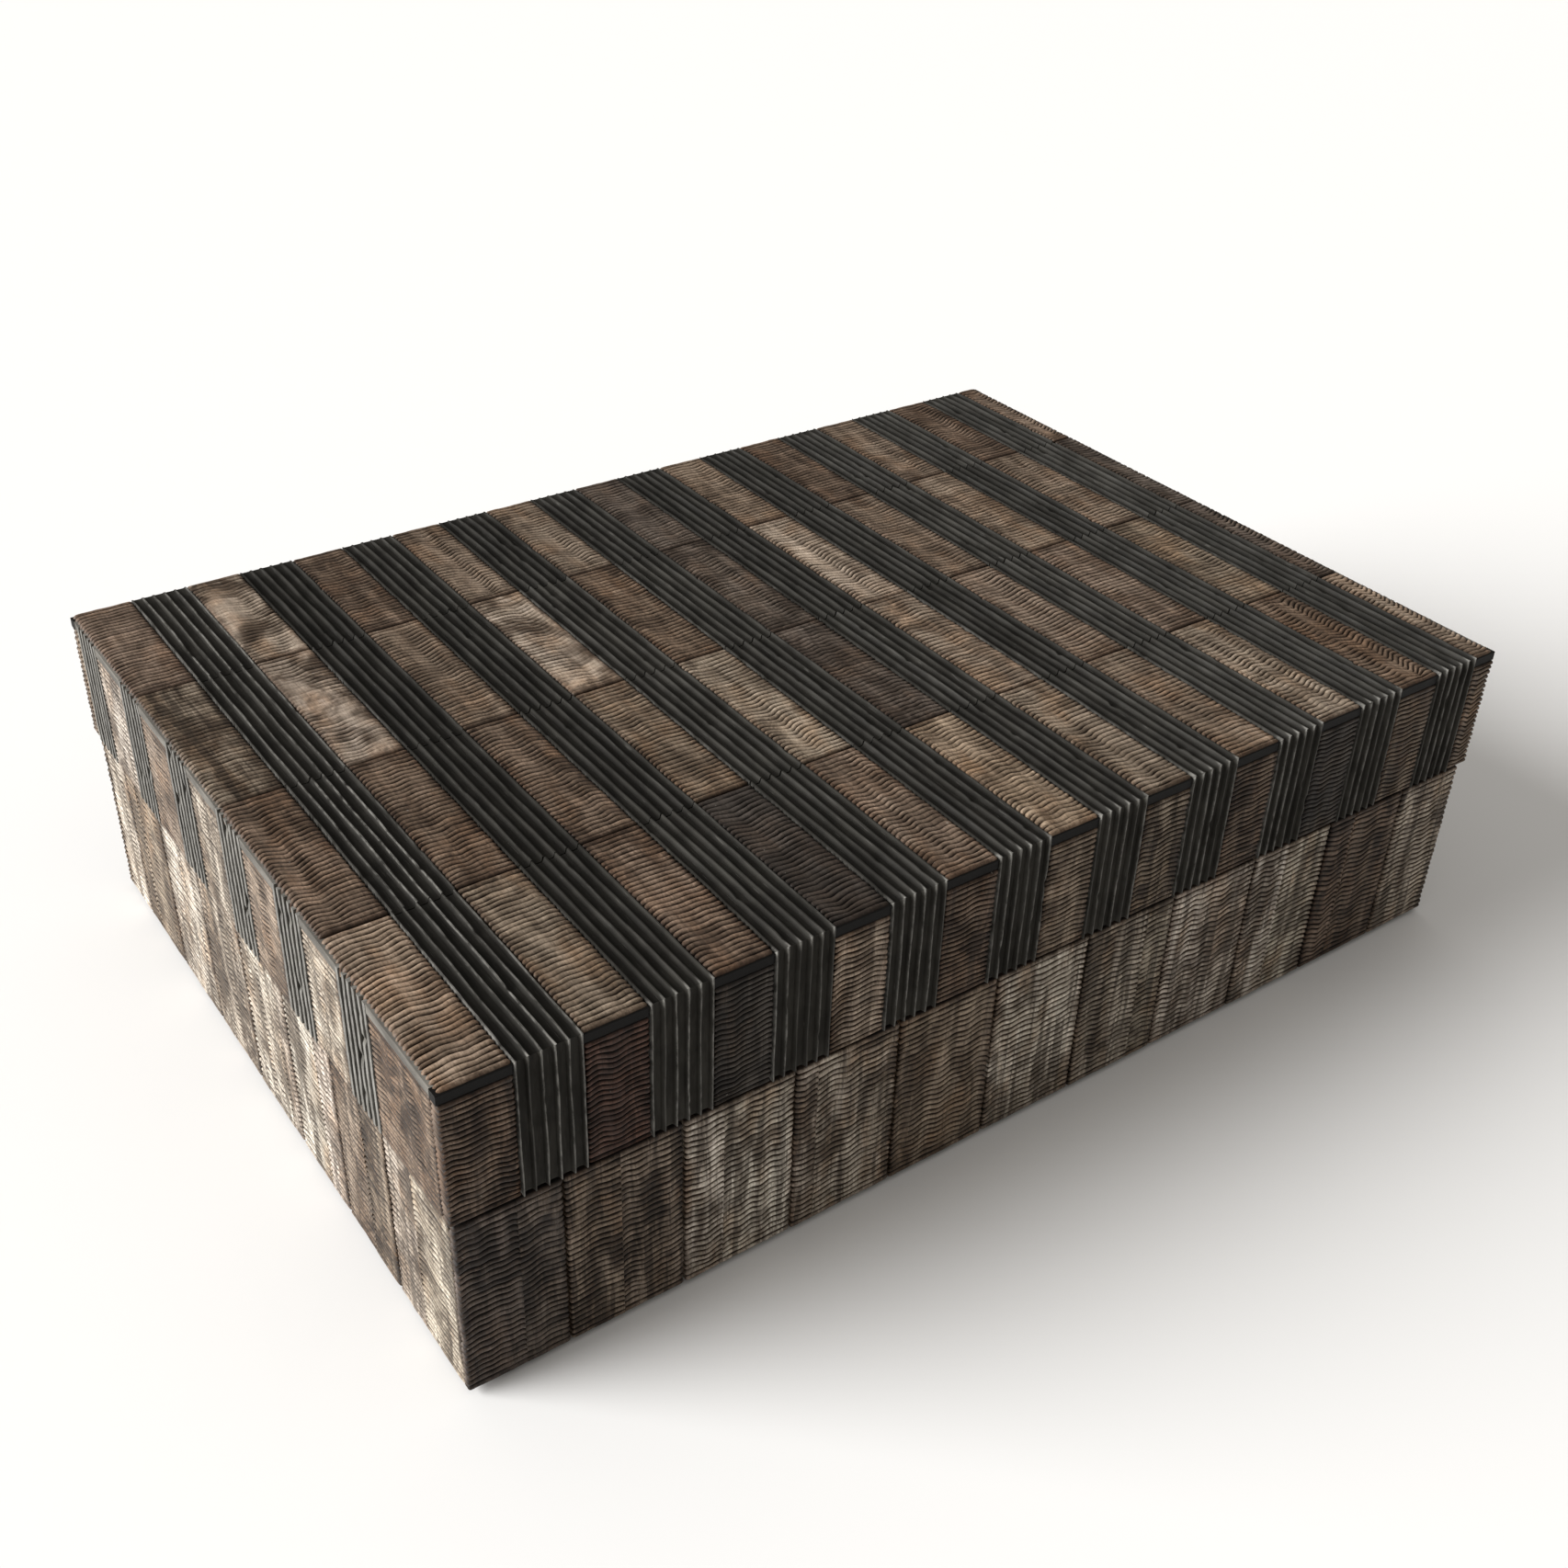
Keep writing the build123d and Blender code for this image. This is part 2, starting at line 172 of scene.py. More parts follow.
# Horn shades: red, green and blue from 0 to 255 as each looks in soft light, then how streaked, mottled and
# polished it is, from 0 to 1.  The studio is bright, so the horn's own colour is HORN_GAIN of that.
HORN_GAIN = 0.67
SHADES = {
    "t": ((150, 131, 113), 0.25, 0.30, 0.0),  # tan
    "m": ((131, 114, 98), 0.40, 0.40, 0.1),  # middle brown
    "g": ((140, 124, 107), 0.40, 0.40, 0.2),  # grey brown
    "l": ((157, 141, 124), 0.40, 0.45, 0.2),  # light
    "p": ((160, 145, 129), 0.30, 0.90, 0.9),  # polished
    "y": ((155, 136, 114), 0.55, 0.45, 0.3),  # honey
    "b": ((116, 98, 83), 0.45, 0.55, 0.0),  # brown
    "d": ((96, 85, 76), 0.45, 0.60, 0.3),  # dark
    "c": ((72, 65, 60), 0.20, 0.20, 0.0),  # charcoal
    "r": ((92, 68, 57), 0.40, 0.40, 0.0),  # red brown
    "k": ((72, 65, 59), 0.50, 0.40, 0.1),  # nearly black, streaked
    "s": ((108, 97, 86), 1.00, 0.60, 0.2),  # smoky
    "x": ((124, 109, 94), 1.00, 0.60, 0.1),  # streaked brown
    "o": ((110, 99, 83), 0.70, 0.80, 0.5),  # olive
    "v": ((161, 149, 134), 1.00, 0.50, 0.2),  # streaked cream
    "w": ((184, 173, 159), 0.90, 0.45, 0.2),  # bone white
}

# Shades of the tiles along +X, or along +Y on the left and right sides.  TOP_ROWS starts at the front.
TOP_ROWS = ("tgbcmygglbg", "bbbmldlmmgd", "xpmpbdlmgmd", "mpbmgdmbmbm")
LID_FRONT = "brklbgxbkmm"
LID_BACK = "gbmkbgxmrbt"
# The left side's tiles have whiter shades than the others, partly as painted light for the bright light on
# that side.
LID_LEFT = "bwgvgww"
LID_RIGHT = "bgmxkgb"
BASE_FRONT = "dxwvgwvwwbv"
BASE_BACK = "xvosxgvbxvd"
# The base's left side also has whiter shades, partly as painted light for the bright light on that side.
BASE_LEFT = "vxwwvwgw"
BASE_RIGHT = "vxgbxosv"

# Where a tight seam splits each tile of the base, as a share of its width; 0 is a whole tile
BASE_SPLITS = (0.57, 0.46, 0.35, 0.21, 0.0, 0.0, 0.7, 0.0, 0.43, 0.34, 0.0)


# ---- Meshes ----
def linear(value):
    """One colour channel from 0-255 display values to scene light."""
    share = value / 255.0
    return share / 12.92 if share <= 0.04045 else ((share + 0.055) / 1.055) ** 2.4


def outline(number):
    """The border of a grid of point numbers, once round."""
    return np.concatenate([number[0, :-1], number[:-1, -1], number[-1, :0:-1], number[:0:-1, 0]])


def grid_faces(number):
    """Four-cornered faces between a grid of point numbers."""
    cells = np.stack([number[:-1, :-1], number[:-1, 1:], number[1:, 1:], number[1:, :-1]], axis=-1)
    return cells.reshape(-1, 4)


def smooth(mesh, degrees):
    """Smooth faces, with hard edges where they meet at more than this angle."""
    mesh.polygons.foreach_set("use_smooth", np.ones(len(mesh.polygons), dtype=bool))
    mesh.set_sharp_from_angle(angle=math.radians(degrees))


class Slab:
    """Joins closed tiles, each a grid of points with a skirt down to its glue face, into one mesh."""

    def __init__(self):
        self.points = []
        self.quads = []
        self.caps = []
        self.kinds = []
        self.cap_kinds = []
        # The last attribute holds the masks of wear and of painted light and shade: relief, then rim or fin
        # tips, then rib tint.
        self.data = {"shade": [], "traits": [], "grain": [], "wear_and_light": []}
        self.count = 0

    def add(self, side, grid, foot, shade, traits, grain, wear_and_light, kind=0):
        """One tile.  grid is its places across, along and out, and foot where its border is glued."""
        across, along, out, origin = SHEET_AXES[side]
        u, v, h = grid
        rows, cols = h.shape
        number = self.count + np.arange(rows * cols).reshape(rows, cols)
        rim = outline(number)
        inside = rim - self.count
        low = self.count + rows * cols + np.arange(len(rim))
        top_points = origin + u[..., None] * across + v[..., None] * along + h[..., None] * out
        low_points = origin + foot[0].ravel()[inside, None] * across + foot[1].ravel()[inside, None] * along
        self.points += [top_points.reshape(-1, 3), low_points]
        cells = grid_faces(number)
        skirt = np.stack([rim, low, np.roll(low, -1), np.roll(rim, -1)], axis=-1)
        self.quads += [cells, skirt]
        self.kinds.append(np.full(len(cells) + len(skirt), kind))
        self.caps.append(low[::-1])
        self.cap_kinds.append(kind)
        total = rows * cols + len(rim)
        self.data["shade"].append(np.tile(np.append(shade, 1.0), (total, 1)))
        self.data["traits"].append(np.tile(np.append(traits, 1.0), (total, 1)))
        self.data["grain"].append(np.concatenate([grain.reshape(-1, 3), grain.reshape(-1, 3)[inside]]))
        skirt_wear_and_light = np.tile((1.0, 1.0, 0.0), (len(rim), 1))
        self.data["wear_and_light"].append(np.concatenate([wear_and_light.reshape(-1, 3), skirt_wear_and_light]))
        self.count += total

    def build(self, name, node, slot, body, *materials):
        """The finished piece, standing for its CAD node."""
        quads = np.concatenate(self.quads)
        loops = np.concatenate([quads.ravel()] + self.caps)
        totals = np.concatenate([np.full(len(quads), 4), [len(cap) for cap in self.caps]])
        starts = np.concatenate([[0], np.cumsum(totals)[:-1]])
        mesh = bpy.data.meshes.new(name)
        mesh.vertices.add(self.count)
        mesh.vertices.foreach_set("co", (np.concatenate(self.points) * MM).ravel().astype(np.float32))
        mesh.loops.add(len(loops))
        mesh.loops.foreach_set("vertex_index", loops.astype(np.int32))
        mesh.polygons.add(len(totals))
        mesh.polygons.foreach_set("loop_start", starts.astype(np.int32))
        kinds = np.concatenate(self.kinds + [self.cap_kinds])
        mesh.polygons.foreach_set("material_index", kinds.astype(np.int32))
        for key, kind, field in (
            ("shade", "FLOAT_COLOR", "color"),
            ("traits", "FLOAT_COLOR", "color"),
            ("grain", "FLOAT_VECTOR", "vector"),
            ("wear_and_light", "FLOAT_VECTOR", "vector"),
        ):
            layer = mesh.attributes.new(key, kind, "POINT")
            layer.data.foreach_set(field, np.concatenate(self.data[key]).ravel().astype(np.float32))
        mesh.update(calc_edges=True)
        mesh.validate()
        smooth(mesh, 50)
        return place(name, mesh, node, slot, body, *materials)


def place(name, mesh, node, slot, body, *materials):
    """Puts a mesh in the scene in the place of a CAD node."""
    piece = bpy.data.objects.new(name, mesh)
    scene.collection.objects.link(piece)
    for material in materials:
        mesh.materials.append(material)
    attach(piece, body)
    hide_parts(node)
    return piece


def waves(rng, lengths, sizes, drift):
    """A smooth random field of place and rib number, as a sum of sine waves."""
    terms = []
    for length, size in zip(lengths, sizes):
        terms.append((length, size, rng.uniform(-drift, drift), rng.uniform(0, 2 * np.pi)))

    def field(place_at, rib):
        total = 0.0
        for length, size, slant, phase in terms:
            total = total + size * np.sin(2 * np.pi * (place_at / length + rib * slant) + phase)
        return total

    return field


def rounded(distance, drop, reach):
    """How far the surface falls at this distance from a worn edge."""
    return drop * np.clip(1 - distance / reach, 0, 1) ** 2


def columns(width):
    """Places of the grid's columns across a tile: close together at the edges, even between."""
    reach = EDGE_COLUMNS[-1]
    steps = max(3, int(round((width - 2 * reach) / COLUMN_STEP)) + 1)
    middle = np.linspace(reach, width - reach, steps)
    return np.concatenate([EDGE_COLUMNS[:-1], middle, (width - EDGE_COLUMNS[:-1])[::-1]])


def per_rib(values, last=0.0):
    """One value for each rib, for all its lines of points, and one for the tile's last line."""
    return np.append(np.repeat(values, len(RIB_SAMPLES)), last)[:, None]


def rib_shape(rng, width, sway):
    """How far a rib strays along the tile at each place across it: waves, a kink and drooping ends."""
    kink = sway * rng.uniform(0.3, 1.7) * (rng.random() < 0.75)
    kink_at = rng.uniform(0.35, 0.65) * width
    kink_half = rng.uniform(0.22, 0.4) * width
    size = rng.uniform(0.12, 0.34)
    length = rng.uniform(5.0, 9.5)
    phase = rng.uniform(0, 2 * np.pi)
    droop = rng.uniform(0.15, 0.65)
    tilt = rng.uniform(-0.5, 0.5)
    loose = waves(rng, (4.3, 7.9, 15.0), (0.04, 0.08, 0.13), 0.06)

    def shape(u, rib):
        fade = 1 + 0.35 * np.sin(rib * 0.23 + phase)
        dip = -kink * np.clip(1 - np.abs(u - kink_at) / kink_half, 0, 1) * fade
        ends = -droop * (np.exp(-u / 1.3) + np.exp(-(width - u) / 1.3))
        wave = size * np.sin(2 * np.pi * u / length + phase + rib * 0.05)
        return dip + ends + wave + tilt * (u / width - 0.5) + loose(u, rib)

    return shape


def rib_lines(rng, u, ribs, step, pitch, sway):
    """Place along the tile of every rib boundary, for every column.  The first and last stay straight."""
    rib = np.arange(ribs + 1)
    lines = rib * step
    lines[1:-1] += rng.normal(0, 0.06 * pitch, ribs - 1)
    held = np.clip(np.minimum(rib, ribs - rib) / 4.0, 0, 1)
    held = held * held * (3 - 2 * held)
    return lines[:, None] + held[:, None] * rib_shape(rng, u[-1], sway)(u[None, :], rib[:, None])


def rib_grid(rng, u, length, pitch, sway):
    """Place along the tile, rib number and place on the rib of every line of points, and the rib count."""
    ribs = max(2, int(round(length / pitch)))
    lines = rib_lines(rng, u, ribs, length / ribs, pitch, sway)
    v = lines[:-1, None] + RIB_SAMPLES[None, :, None] * (lines[1:] - lines[:-1])[:, None]
    v = np.concatenate([v.reshape(-1, len(u)), lines[-1:]])
    phase = np.append(np.tile(RIB_SAMPLES, ribs), 0.0)[:, None]
    return v, per_rib(np.arange(ribs), ribs), phase, ribs


def groove_depth(rng, u, number, phase, ribs, polish):
    """Share of the full groove depth: uneven, and less where the horn is polished."""
    cut = waves(rng, (3.1, 6.4, 13.0), (0.10, 0.14, 0.14), 0.11)
    worn = waves(rng, (19.0, 31.0), (0.6, 0.6), 0.05)
    depth = np.clip(0.88 + cut(u, number), 0.3, 1.15)
    depth = depth * (1 - 0.85 * polish * np.clip(0.5 + worn(u, number), 0, 1))
    return np.where((number == 0) & (phase == 0) | (number == ribs), 1.0, depth)


def edge_fall(u, v, width, length, tight, outer):
    """Distance to a tile's nearest side and nearest end, and how far its worn edges drop."""
    sides = [u, width - u]
    near = np.minimum(sides[0] + 3.0 * tight[0], sides[1] + 3.0 * tight[1])
    end = np.minimum(v, length - v)
    fall = rounded(near, *SIDE_ROUND) + rounded(end, *END_ROUND)
    for marked, distance in zip(outer, sides + [v, length - v]):
        fall = fall + marked * rounded(distance, *OUTER_ROUND)
    return near, end, fall


def grain_of(rng, u, v):
    """Where a tile's pattern is looked up: a random place of its own."""
    offset = rng.uniform(0, 400, 3)
    return np.stack([u + offset[0], v + offset[1], np.full_like(v, offset[2])], axis=-1)


def horn_tile(slab, rng, side, span, rise, plate, pitch, code, tight=(False, False), outer=(0, 0, 0, 0)):
    """One carved horn tile.

    span is its low and high place across the side and rise the same along it.  tight marks a span edge that
    is butted close to its neighbour, and outer the edges (span low, high, rise low, high) worn round.
    """
    colour, streak, mottle, polish = SHADES[code]
    grime_and_shade, sway = (1.0, 1.0) if side == "top" else (SIDE_GRIME_AND_SHADE, SIDE_SWAY)
    width, length = span[1] - span[0], rise[1] - rise[0]
    v, number, phase, ribs = rib_grid(rng, columns(width), length, pitch, sway)
    u = columns(width)[None, :]
    groove = np.abs(2 * phase - 1) ** 2.2
    depth = groove_depth(rng, u, number, phase, ribs, polish)
    swell = waves(rng, (5.7, 17.0), (0.025, 0.045), 0.2)
    crest = per_rib(rng.normal(0, 0.04, ribs))
    near, end, fall = edge_fall(u, v, width, length, tight, outer)
    h = plate - CREST_LEVEL - RIB_DEPTH * depth * groove - fall + (swell(u, number) + crest) * (1 - groove)
    h = np.clip(h, 0.3, plate - 0.01)
    ragged = per_rib(np.abs(rng.normal(0, 0.10, ribs)))
    inward = np.where(u < width / 2, 1.0, -1.0)
    uu = u + inward * (0.65 * groove * np.minimum(depth, 1) + ragged) * np.exp(-near / 0.5)
    # relief is the mask of the painted shade in the grooves: deeper on the sides, and lower near a tile's
    # sides so that painted shade reaches into the joints.
    edge = 1 - 0.35 * np.clip(1 - near / 0.4, 0, 1)
    relief = (1 - np.clip((0.2 + 0.8 * grime_and_shade) * depth * groove, 0, 1)) * edge
    rim = np.clip(np.minimum(near, end) / 3.0, 0, 1)
    tint = per_rib(rng.normal(0, 1, ribs)) * (1 - groove)
    wear_and_light = np.stack([relief + 0 * v, rim + 0 * v, tint + 0 * v], axis=-1)
    gain = HORN_GAIN * rng.uniform(0.92, 1.08)
    shade = [linear(channel) * gain * rng.uniform(0.985, 1.015) for channel in colour]
    traits = (min(streak * grime_and_shade, 1), min(mottle * grime_and_shade, 1), polish)
    grid = (span[0] + uu, rise[0] + v, h)
    slab.add(side, grid, grid, shade, traits, grain_of(rng, uu, v), wear_and_light)


def fin_profile(width, tip, depth):
    """Points across a resin tile.

    For each: its place, its height from the fins' tips, the fin that it belongs to, how far it follows that
    fin, and which edge of the tip it is (-1 or 1, or 0 in a valley).
    """
    pitch = (width - tip) / (FINS - 1)
    points = []
    for fin in range(FINS):
        points.append((fin * pitch, 0.0, fin, 1.0, -1.0))
        points.append((fin * pitch + tip, 0.0, fin, 1.0, 1.0))
        for share, fall in FIN_PROFILE if fin < FINS - 1 else ():
            owner = fin if share < 0.5 else fin + 1
            points.append((fin * pitch + tip + share * (pitch - tip), -depth * fall, owner, 1 - fall, 0.0))
    places, heights, owner, hold, flank = np.array(points).T
    return places, heights, owner.astype(int), hold, flank


def fin_run(length):
    """Shares of a resin tile's length where its points lie: even steps, with one close to each end."""
    count = max(4, int(round(length / FIN_STEP)))
    share = np.linspace(0, 1, count + 1)
    share[1] = min(share[1], 0.3 / length)
    share[-2] = max(share[-2], 1 - 0.3 / length)
    return share


def fin_wear(rng, run):
    """How far each fin strays sideways, and how far its tip is worn or chipped down, along the tile."""
    length = run[-1]
    wander = np.zeros((len(run), FINS))
    drop = np.zeros((len(run), FINS))
    for fin in range(FINS):
        wander[:, fin] = waves(rng, (13.0, 31.0), (0.025, 0.10), 0)(run, 0) + rng.normal(0, 0.08)
        wear_and_light = waves(rng, (7.7, 21.0), (0.012, 0.03), 0)(run, 0)
        drop[:, fin] = 0.06 + wear_and_light + np.abs(rng.normal(0, 0.012, len(run)))
        for chip in rng.uniform(0, length, rng.poisson(length / CHIP_SPACING)):
            drop[:, fin] += rng.uniform(0.1, 0.5) * np.exp(-(((run - chip) / rng.uniform(0.4, 1.2)) ** 2))
    wander[:, 0] = np.abs(wander[:, 0]) * 0.5
    wander[:, -1] = -np.abs(wander[:, -1]) * 0.5
    return wander, np.clip(drop, 0.01, 0.7)


def valley_depth(mitres, run):
    """Depth of the valleys along a tile as a share of the full depth: less towards a shallow mitre."""
    full = np.ones(len(run))
    for end, distance in zip(mitres, (run, run[-1] - run)):
        if 0 < end < 1:
            full = np.minimum(full, 1 - (1 - end) * np.clip(1 - distance / MITRE_FADE, 0, 1))
    return full[:, None]


def mitre_rub_and_glint(tips, mitres, run, heights, depth):
    """Fin tips' lightening, partly wear and partly a painted highlight, with more painted glint at a full
    mitre, down into the valleys.
    """
    for end, distance in zip(mitres, (run, run[-1] - run)):
        if end == 1:
            corner = np.exp(-distance / 1.2)[:, None] * np.clip(1 + heights / (0.6 * depth), 0, 1)[None, :]
            tips = np.maximum(tips, corner)
    return tips


def fin_tile(slab, rng, side, span, rise, mitres, tip, depth, grey, rub_and_glint):
    """One resin tile with six fins along it.

    mitres says how each end meets the fins round the edge: 0 is a plain end, 1 a mitre as deep as the fins,
    and a share between the two one whose valleys are only that deep.  The last argument is the least and
    most
    that the fin tips are lightened: partly wear, partly a painted highlight.
    """
    width, length = span[1] - span[0], rise[1] - rise[0]
    places, heights, owner, hold, flank = fin_profile(width, tip, depth)
    share = fin_run(length)
    run = share * length
    wander, drop = fin_wear(rng, run)
    widen = waves(rng, (9.0, 17.0), (0.02, 0.04), 0)(run[:, None], owner[None, :] * 0.0)
    u = places[None, :] + wander[:, owner] * hold[None, :] + flank[None, :] * widen * 0.5
    u[:, 0] = np.maximum(u[:, 0], 0.0)
    u[:, -1] = np.minimum(u[:, -1], width)
    full = valley_depth(mitres, run)
    sink = 0.5 * (1 - full)
    h = LID_PLATE + heights[None, :] * full - drop[:, owner] * hold[None, :] * full - sink
    low = rise[0] - (h if mitres[0] else 0)
    high = rise[1] + (h if mitres[1] else 0)
    v = low + share[:, None] * (high - low) + 0 * h
    foot = (span[0] + u, rise[0] + share[:, None] * length + 0 * h)
    # relief is the mask of the painted shade in the valleys between the fins.
    relief = np.clip(1 + heights / depth, 0, 1)[None, :] * np.ones_like(h)
    # How far each fin's tip is lightened grey: partly wear, partly a painted highlight.
    rubbed_and_glint = rng.uniform(*rub_and_glint, FINS)
    tips = np.clip(1 - drop[:, owner] * 2.2, 0, 1) * (heights > -0.01)[None, :] * rubbed_and_glint[owner][None, :]
    tips = mitre_rub_and_glint(tips, mitres, run, heights, depth)
    wear_and_light = np.stack([relief, tips, 0 * h], axis=-1)
    grain = grain_of(rng, u, v)
    tone = linear(grey) * rng.uniform(0.85, 1.2)
    black = (tone, tone * 0.97, tone * 0.90)
    slab.add(side, (span[0] + u, v, h), foot, black, (0.2, 0.2, 0.0), grain, wear_and_light)


def plain_strip(slab, rng, side, span, rise, high, grey, kind):
    """A smooth resin strip with softened edges.  high is how far it stands off its wall."""
    width, length = span[1] - span[0], rise[1] - rise[0]
    bevel = 0.08
    u = np.concatenate([[0, bevel], np.linspace(0.4, width - 0.4, 12), [width - bevel, width]])[None, :]
    v = np.concatenate([[0, bevel], np.linspace(0.3, length - 0.3, 4), [length - bevel, length]])[:, None]
    sides = np.minimum(np.minimum(u, width - u), np.minimum(v, length - v))
    uneven = waves(rng, (7.0, 13.0), (0.015, 0.02), 0)(u + 0 * v, 0)
    h = high - 0.06 * np.clip(1 - sides / bevel, 0, 1) + uneven - 0.03
    u, v = u + 0 * v, v + 0 * u
    grain = grain_of(rng, v, u)
    wear_and_light = np.stack([0.6 + 0 * h, 0.3 * np.clip(1 - sides / 0.1, 0, 1), 0 * h], axis=-1)
    grid = (span[0] + u, rise[0] + v, h)
    shade = (linear(grey), linear(grey) * 0.96, linear(grey) * 0.90)
    slab.add(side, grid, grid, shade, (0.3, 0.3, 0.0), grain, wear_and_light, kind)


# ---- Materials ----
class Nodes:
    """Short way to write a material's node tree."""

    def __init__(self, name):
        self.material = bpy.data.materials.new(name)
        self.material.use_nodes = True
        self.tree = self.material.node_tree
        self.shader = self.tree.nodes["Principled BSDF"]

    def add(self, kind, inputs=None, **settings):
        """A new node with its settings and its inputs' values or links."""
        node = self.tree.nodes.new("ShaderNode" + kind)
        for key, value in settings.items():
            setattr(node, key, value)
        for key, value in (inputs or {}).items():
            self.feed(node, key, value)
        return node

    def feed(self, node, key, value):
        """Links an output to a node's input, or sets the input's value."""
        if isinstance(value, bpy.types.NodeSocket):
            self.tree.links.new(value, node.inputs[key])
        else:
            node.inputs[key].default_value = value

    def attribute(self, name, output):
        """What the mesh stores under this name at each point."""
        return self.add("Attribute", attribute_name=name).outputs[output]

    def parts(self, name, kind):
        """The three numbers of a stored colour or vector, each on its own."""
        split = {"Color": "SeparateColor", "Vector": "SeparateXYZ"}[kind]
        return self.add(split, {kind: self.attribute(name, kind)}).outputs

    def coords(self):
        """Place on the object, in metres."""
        return self.add("TexCoord").outputs["Object"]

    def scaled(self, vector, scale):
        """A place stretched along each axis."""
        return self.add("Mapping", {"Vector": vector, "Scale": scale}).outputs["Vector"]

    def noise(self, vector, scale, detail=3.0, roughness=0.55, distortion=0.0):
        """Soft random noise from 0 to 1."""
        node = self.add("TexNoise", {"Vector": vector, "Scale": scale, "Detail": detail})
        node.inputs["Roughness"].default_value = roughness
        node.inputs["Distortion"].default_value = distortion
        return node.outputs["Fac"]

    def grained(self, grain, stretch, roughness=0.6, distortion=0.0, detail=3.0):
        """Noise stretched along a tile's grain."""
        return self.noise(self.scaled(grain, stretch), 1.0, detail, roughness, distortion)

    def spread(self, value, low, high, to_low=0.0, to_high=1.0):
        """A value's way from low to high, eased, as one from to_low to to_high."""
        ends = {"From Min": low, "From Max": high, "To Min": to_low, "To Max": to_high}
        settings = {"clamp": True, "interpolation_type": "SMOOTHSTEP"}
        return self.add("MapRange", {"Value": value, **ends}, **settings).outputs["Result"]

    def sum(self, kind, a, b):
        """Two values added, multiplied or otherwise joined."""
        node = self.add("Math", operation=kind)
        self.feed(node, 0, a)
        self.feed(node, 1, b)
        return node.outputs[0]

    def mix(self, kind, share, a, b):
        """Two colours blended."""
        node = self.add("Mix", data_type="RGBA", blend_type=kind, clamp_factor=True)
        self.feed(node, 0, share)
        self.feed(node, 6, a)
        self.feed(node, 7, b)
        return node.outputs[2]

    def times(self, colour, factor):
        """A colour multiplied by another."""
        return self.mix("MULTIPLY", 1.0, colour, factor)

    def graded(self, colour, share, low, high):
        """A colour multiplied by one that goes from low to high as share goes from 0 to 1."""
        return self.times(colour, self.mix("MIX", share, low, high))

    def layered(self, colour, where, strength, top):
        """A colour with another over it, at most this strongly, where a mask is 1."""
        return self.mix("MIX", self.sum("MULTIPLY", where, strength), colour, top)

    def bump(self, height, strength, distance):
        """Fine relief too small to be modelled."""
        node = self.add("Bump", {"Height": height, "Strength": strength, "Distance": distance})
        return node.outputs["Normal"]

    def finish(self, **inputs):
        """The material, with these inputs of its shader fed."""
        for key, value in inputs.items():
            self.feed(self.shader, key.replace("_", " "), value)
        return self.material


def horn_marks(n, grain, shade, traits):
    """A tile's shade, with red warmth, milky blooms, dark zones, pale patches, streaks and hairs."""
    streaked, mottled = traits[0], traits[1]
    streaks = n.spread(n.grained(grain, (0.42, 0.028, 1), 0.6, 0.5), 0.49, 0.60)
    streaks = n.sum("MULTIPLY", streaks, streaked)
    pale = n.spread(n.grained(grain, (0.11, 0.028, 1.7), 0.62), 0.46, 0.64)
    pale = n.sum("MULTIPLY", pale, n.sum("ADD", streaked, 0.15))
    hairs = n.spread(n.grained(grain, (1.5, 0.045, 4.1)), 0.38, 0.64)
    hairs = n.mix("MIX", hairs, (0.80, 0.79, 0.77, 1), (1.12, 1.13, 1.14, 1))
    zones = n.spread(n.grained(grain, (0.085, 0.075, 2.3), 0.62, 0.8), 0.42, 0.60)
    zones = n.sum("MULTIPLY", zones, n.sum("ADD", mottled, 0.25))
    bloom = n.spread(n.grained(grain, (0.12, 0.09, 7.3), 0.6, 0.6), 0.52, 0.72)
    bloom = n.sum("MULTIPLY", bloom, n.sum("ADD", mottled, 0.1))
    warm = n.spread(n.grained(grain, (0.11, 0.06, 5), 0.55, detail=2.0), 0.42, 0.66)
    colour = n.mix("MIX", warm, shade, n.times(shade, (1.02, 0.90, 0.80, 1)))
    colour = n.layered(colour, bloom, 0.8, n.times(shade, (1.42, 1.47, 1.56, 1)))
    colour = n.layered(colour, zones, 0.85, n.times(shade, (0.27, 0.23, 0.20, 1)))
    colour = n.layered(colour, pale, 0.85, n.times(shade, (1.52, 1.58, 1.65, 1)))
    colour = n.layered(colour, streaks, 0.72, n.times(shade, (0.25, 0.225, 0.205, 1)))
    colour = n.mix("MULTIPLY", n.sum("MULTIPLY", streaked, 0.9), colour, hairs)
    return colour, bloom


def horn_stains_and_shade(n, grain, colour, relief, rim, bloom, fleck):
    """The colour darker towards the tile rims, partly stain and partly painted shade at the joints and the
    gap, painted shade in the grooves, and a few dark specks.
    """
    # Darker towards the rims: partly stain, partly painted shade at the joints and the gap between lid and
    # base.
    stain_and_shade = n.sum("ADD", rim, n.sum("MULTIPLY", n.sum("SUBTRACT", bloom, 0.2), 0.5))
    stain_and_shade = n.sum("ADD", stain_and_shade, n.sum("MULTIPLY", n.sum("SUBTRACT", fleck, 0.5), 0.9))
    colour = n.graded(colour, n.spread(stain_and_shade, 0.0, 0.62), (0.55, 0.50, 0.47, 1), (1, 1, 1, 1))
    # Darker grooves: painted shade in the hollows between the ribs, broken up by the flecks.
    groove_shade = n.sum("ADD", relief, n.sum("MULTIPLY", n.sum("SUBTRACT", fleck, 0.5), 0.4))
    groove = n.times(colour, (0.14, 0.105, 0.085, 1))
    colour = n.mix("MIX", n.spread(groove_shade, 0.16, 0.74), groove, colour)
    specks = n.spread(n.grained(grain, (1.1, 0.9, 9.0), 0.5, detail=2.0), 0.76, 0.79)
    return n.layered(colour, specks, 0.5, (0.30, 0.28, 0.25, 1))


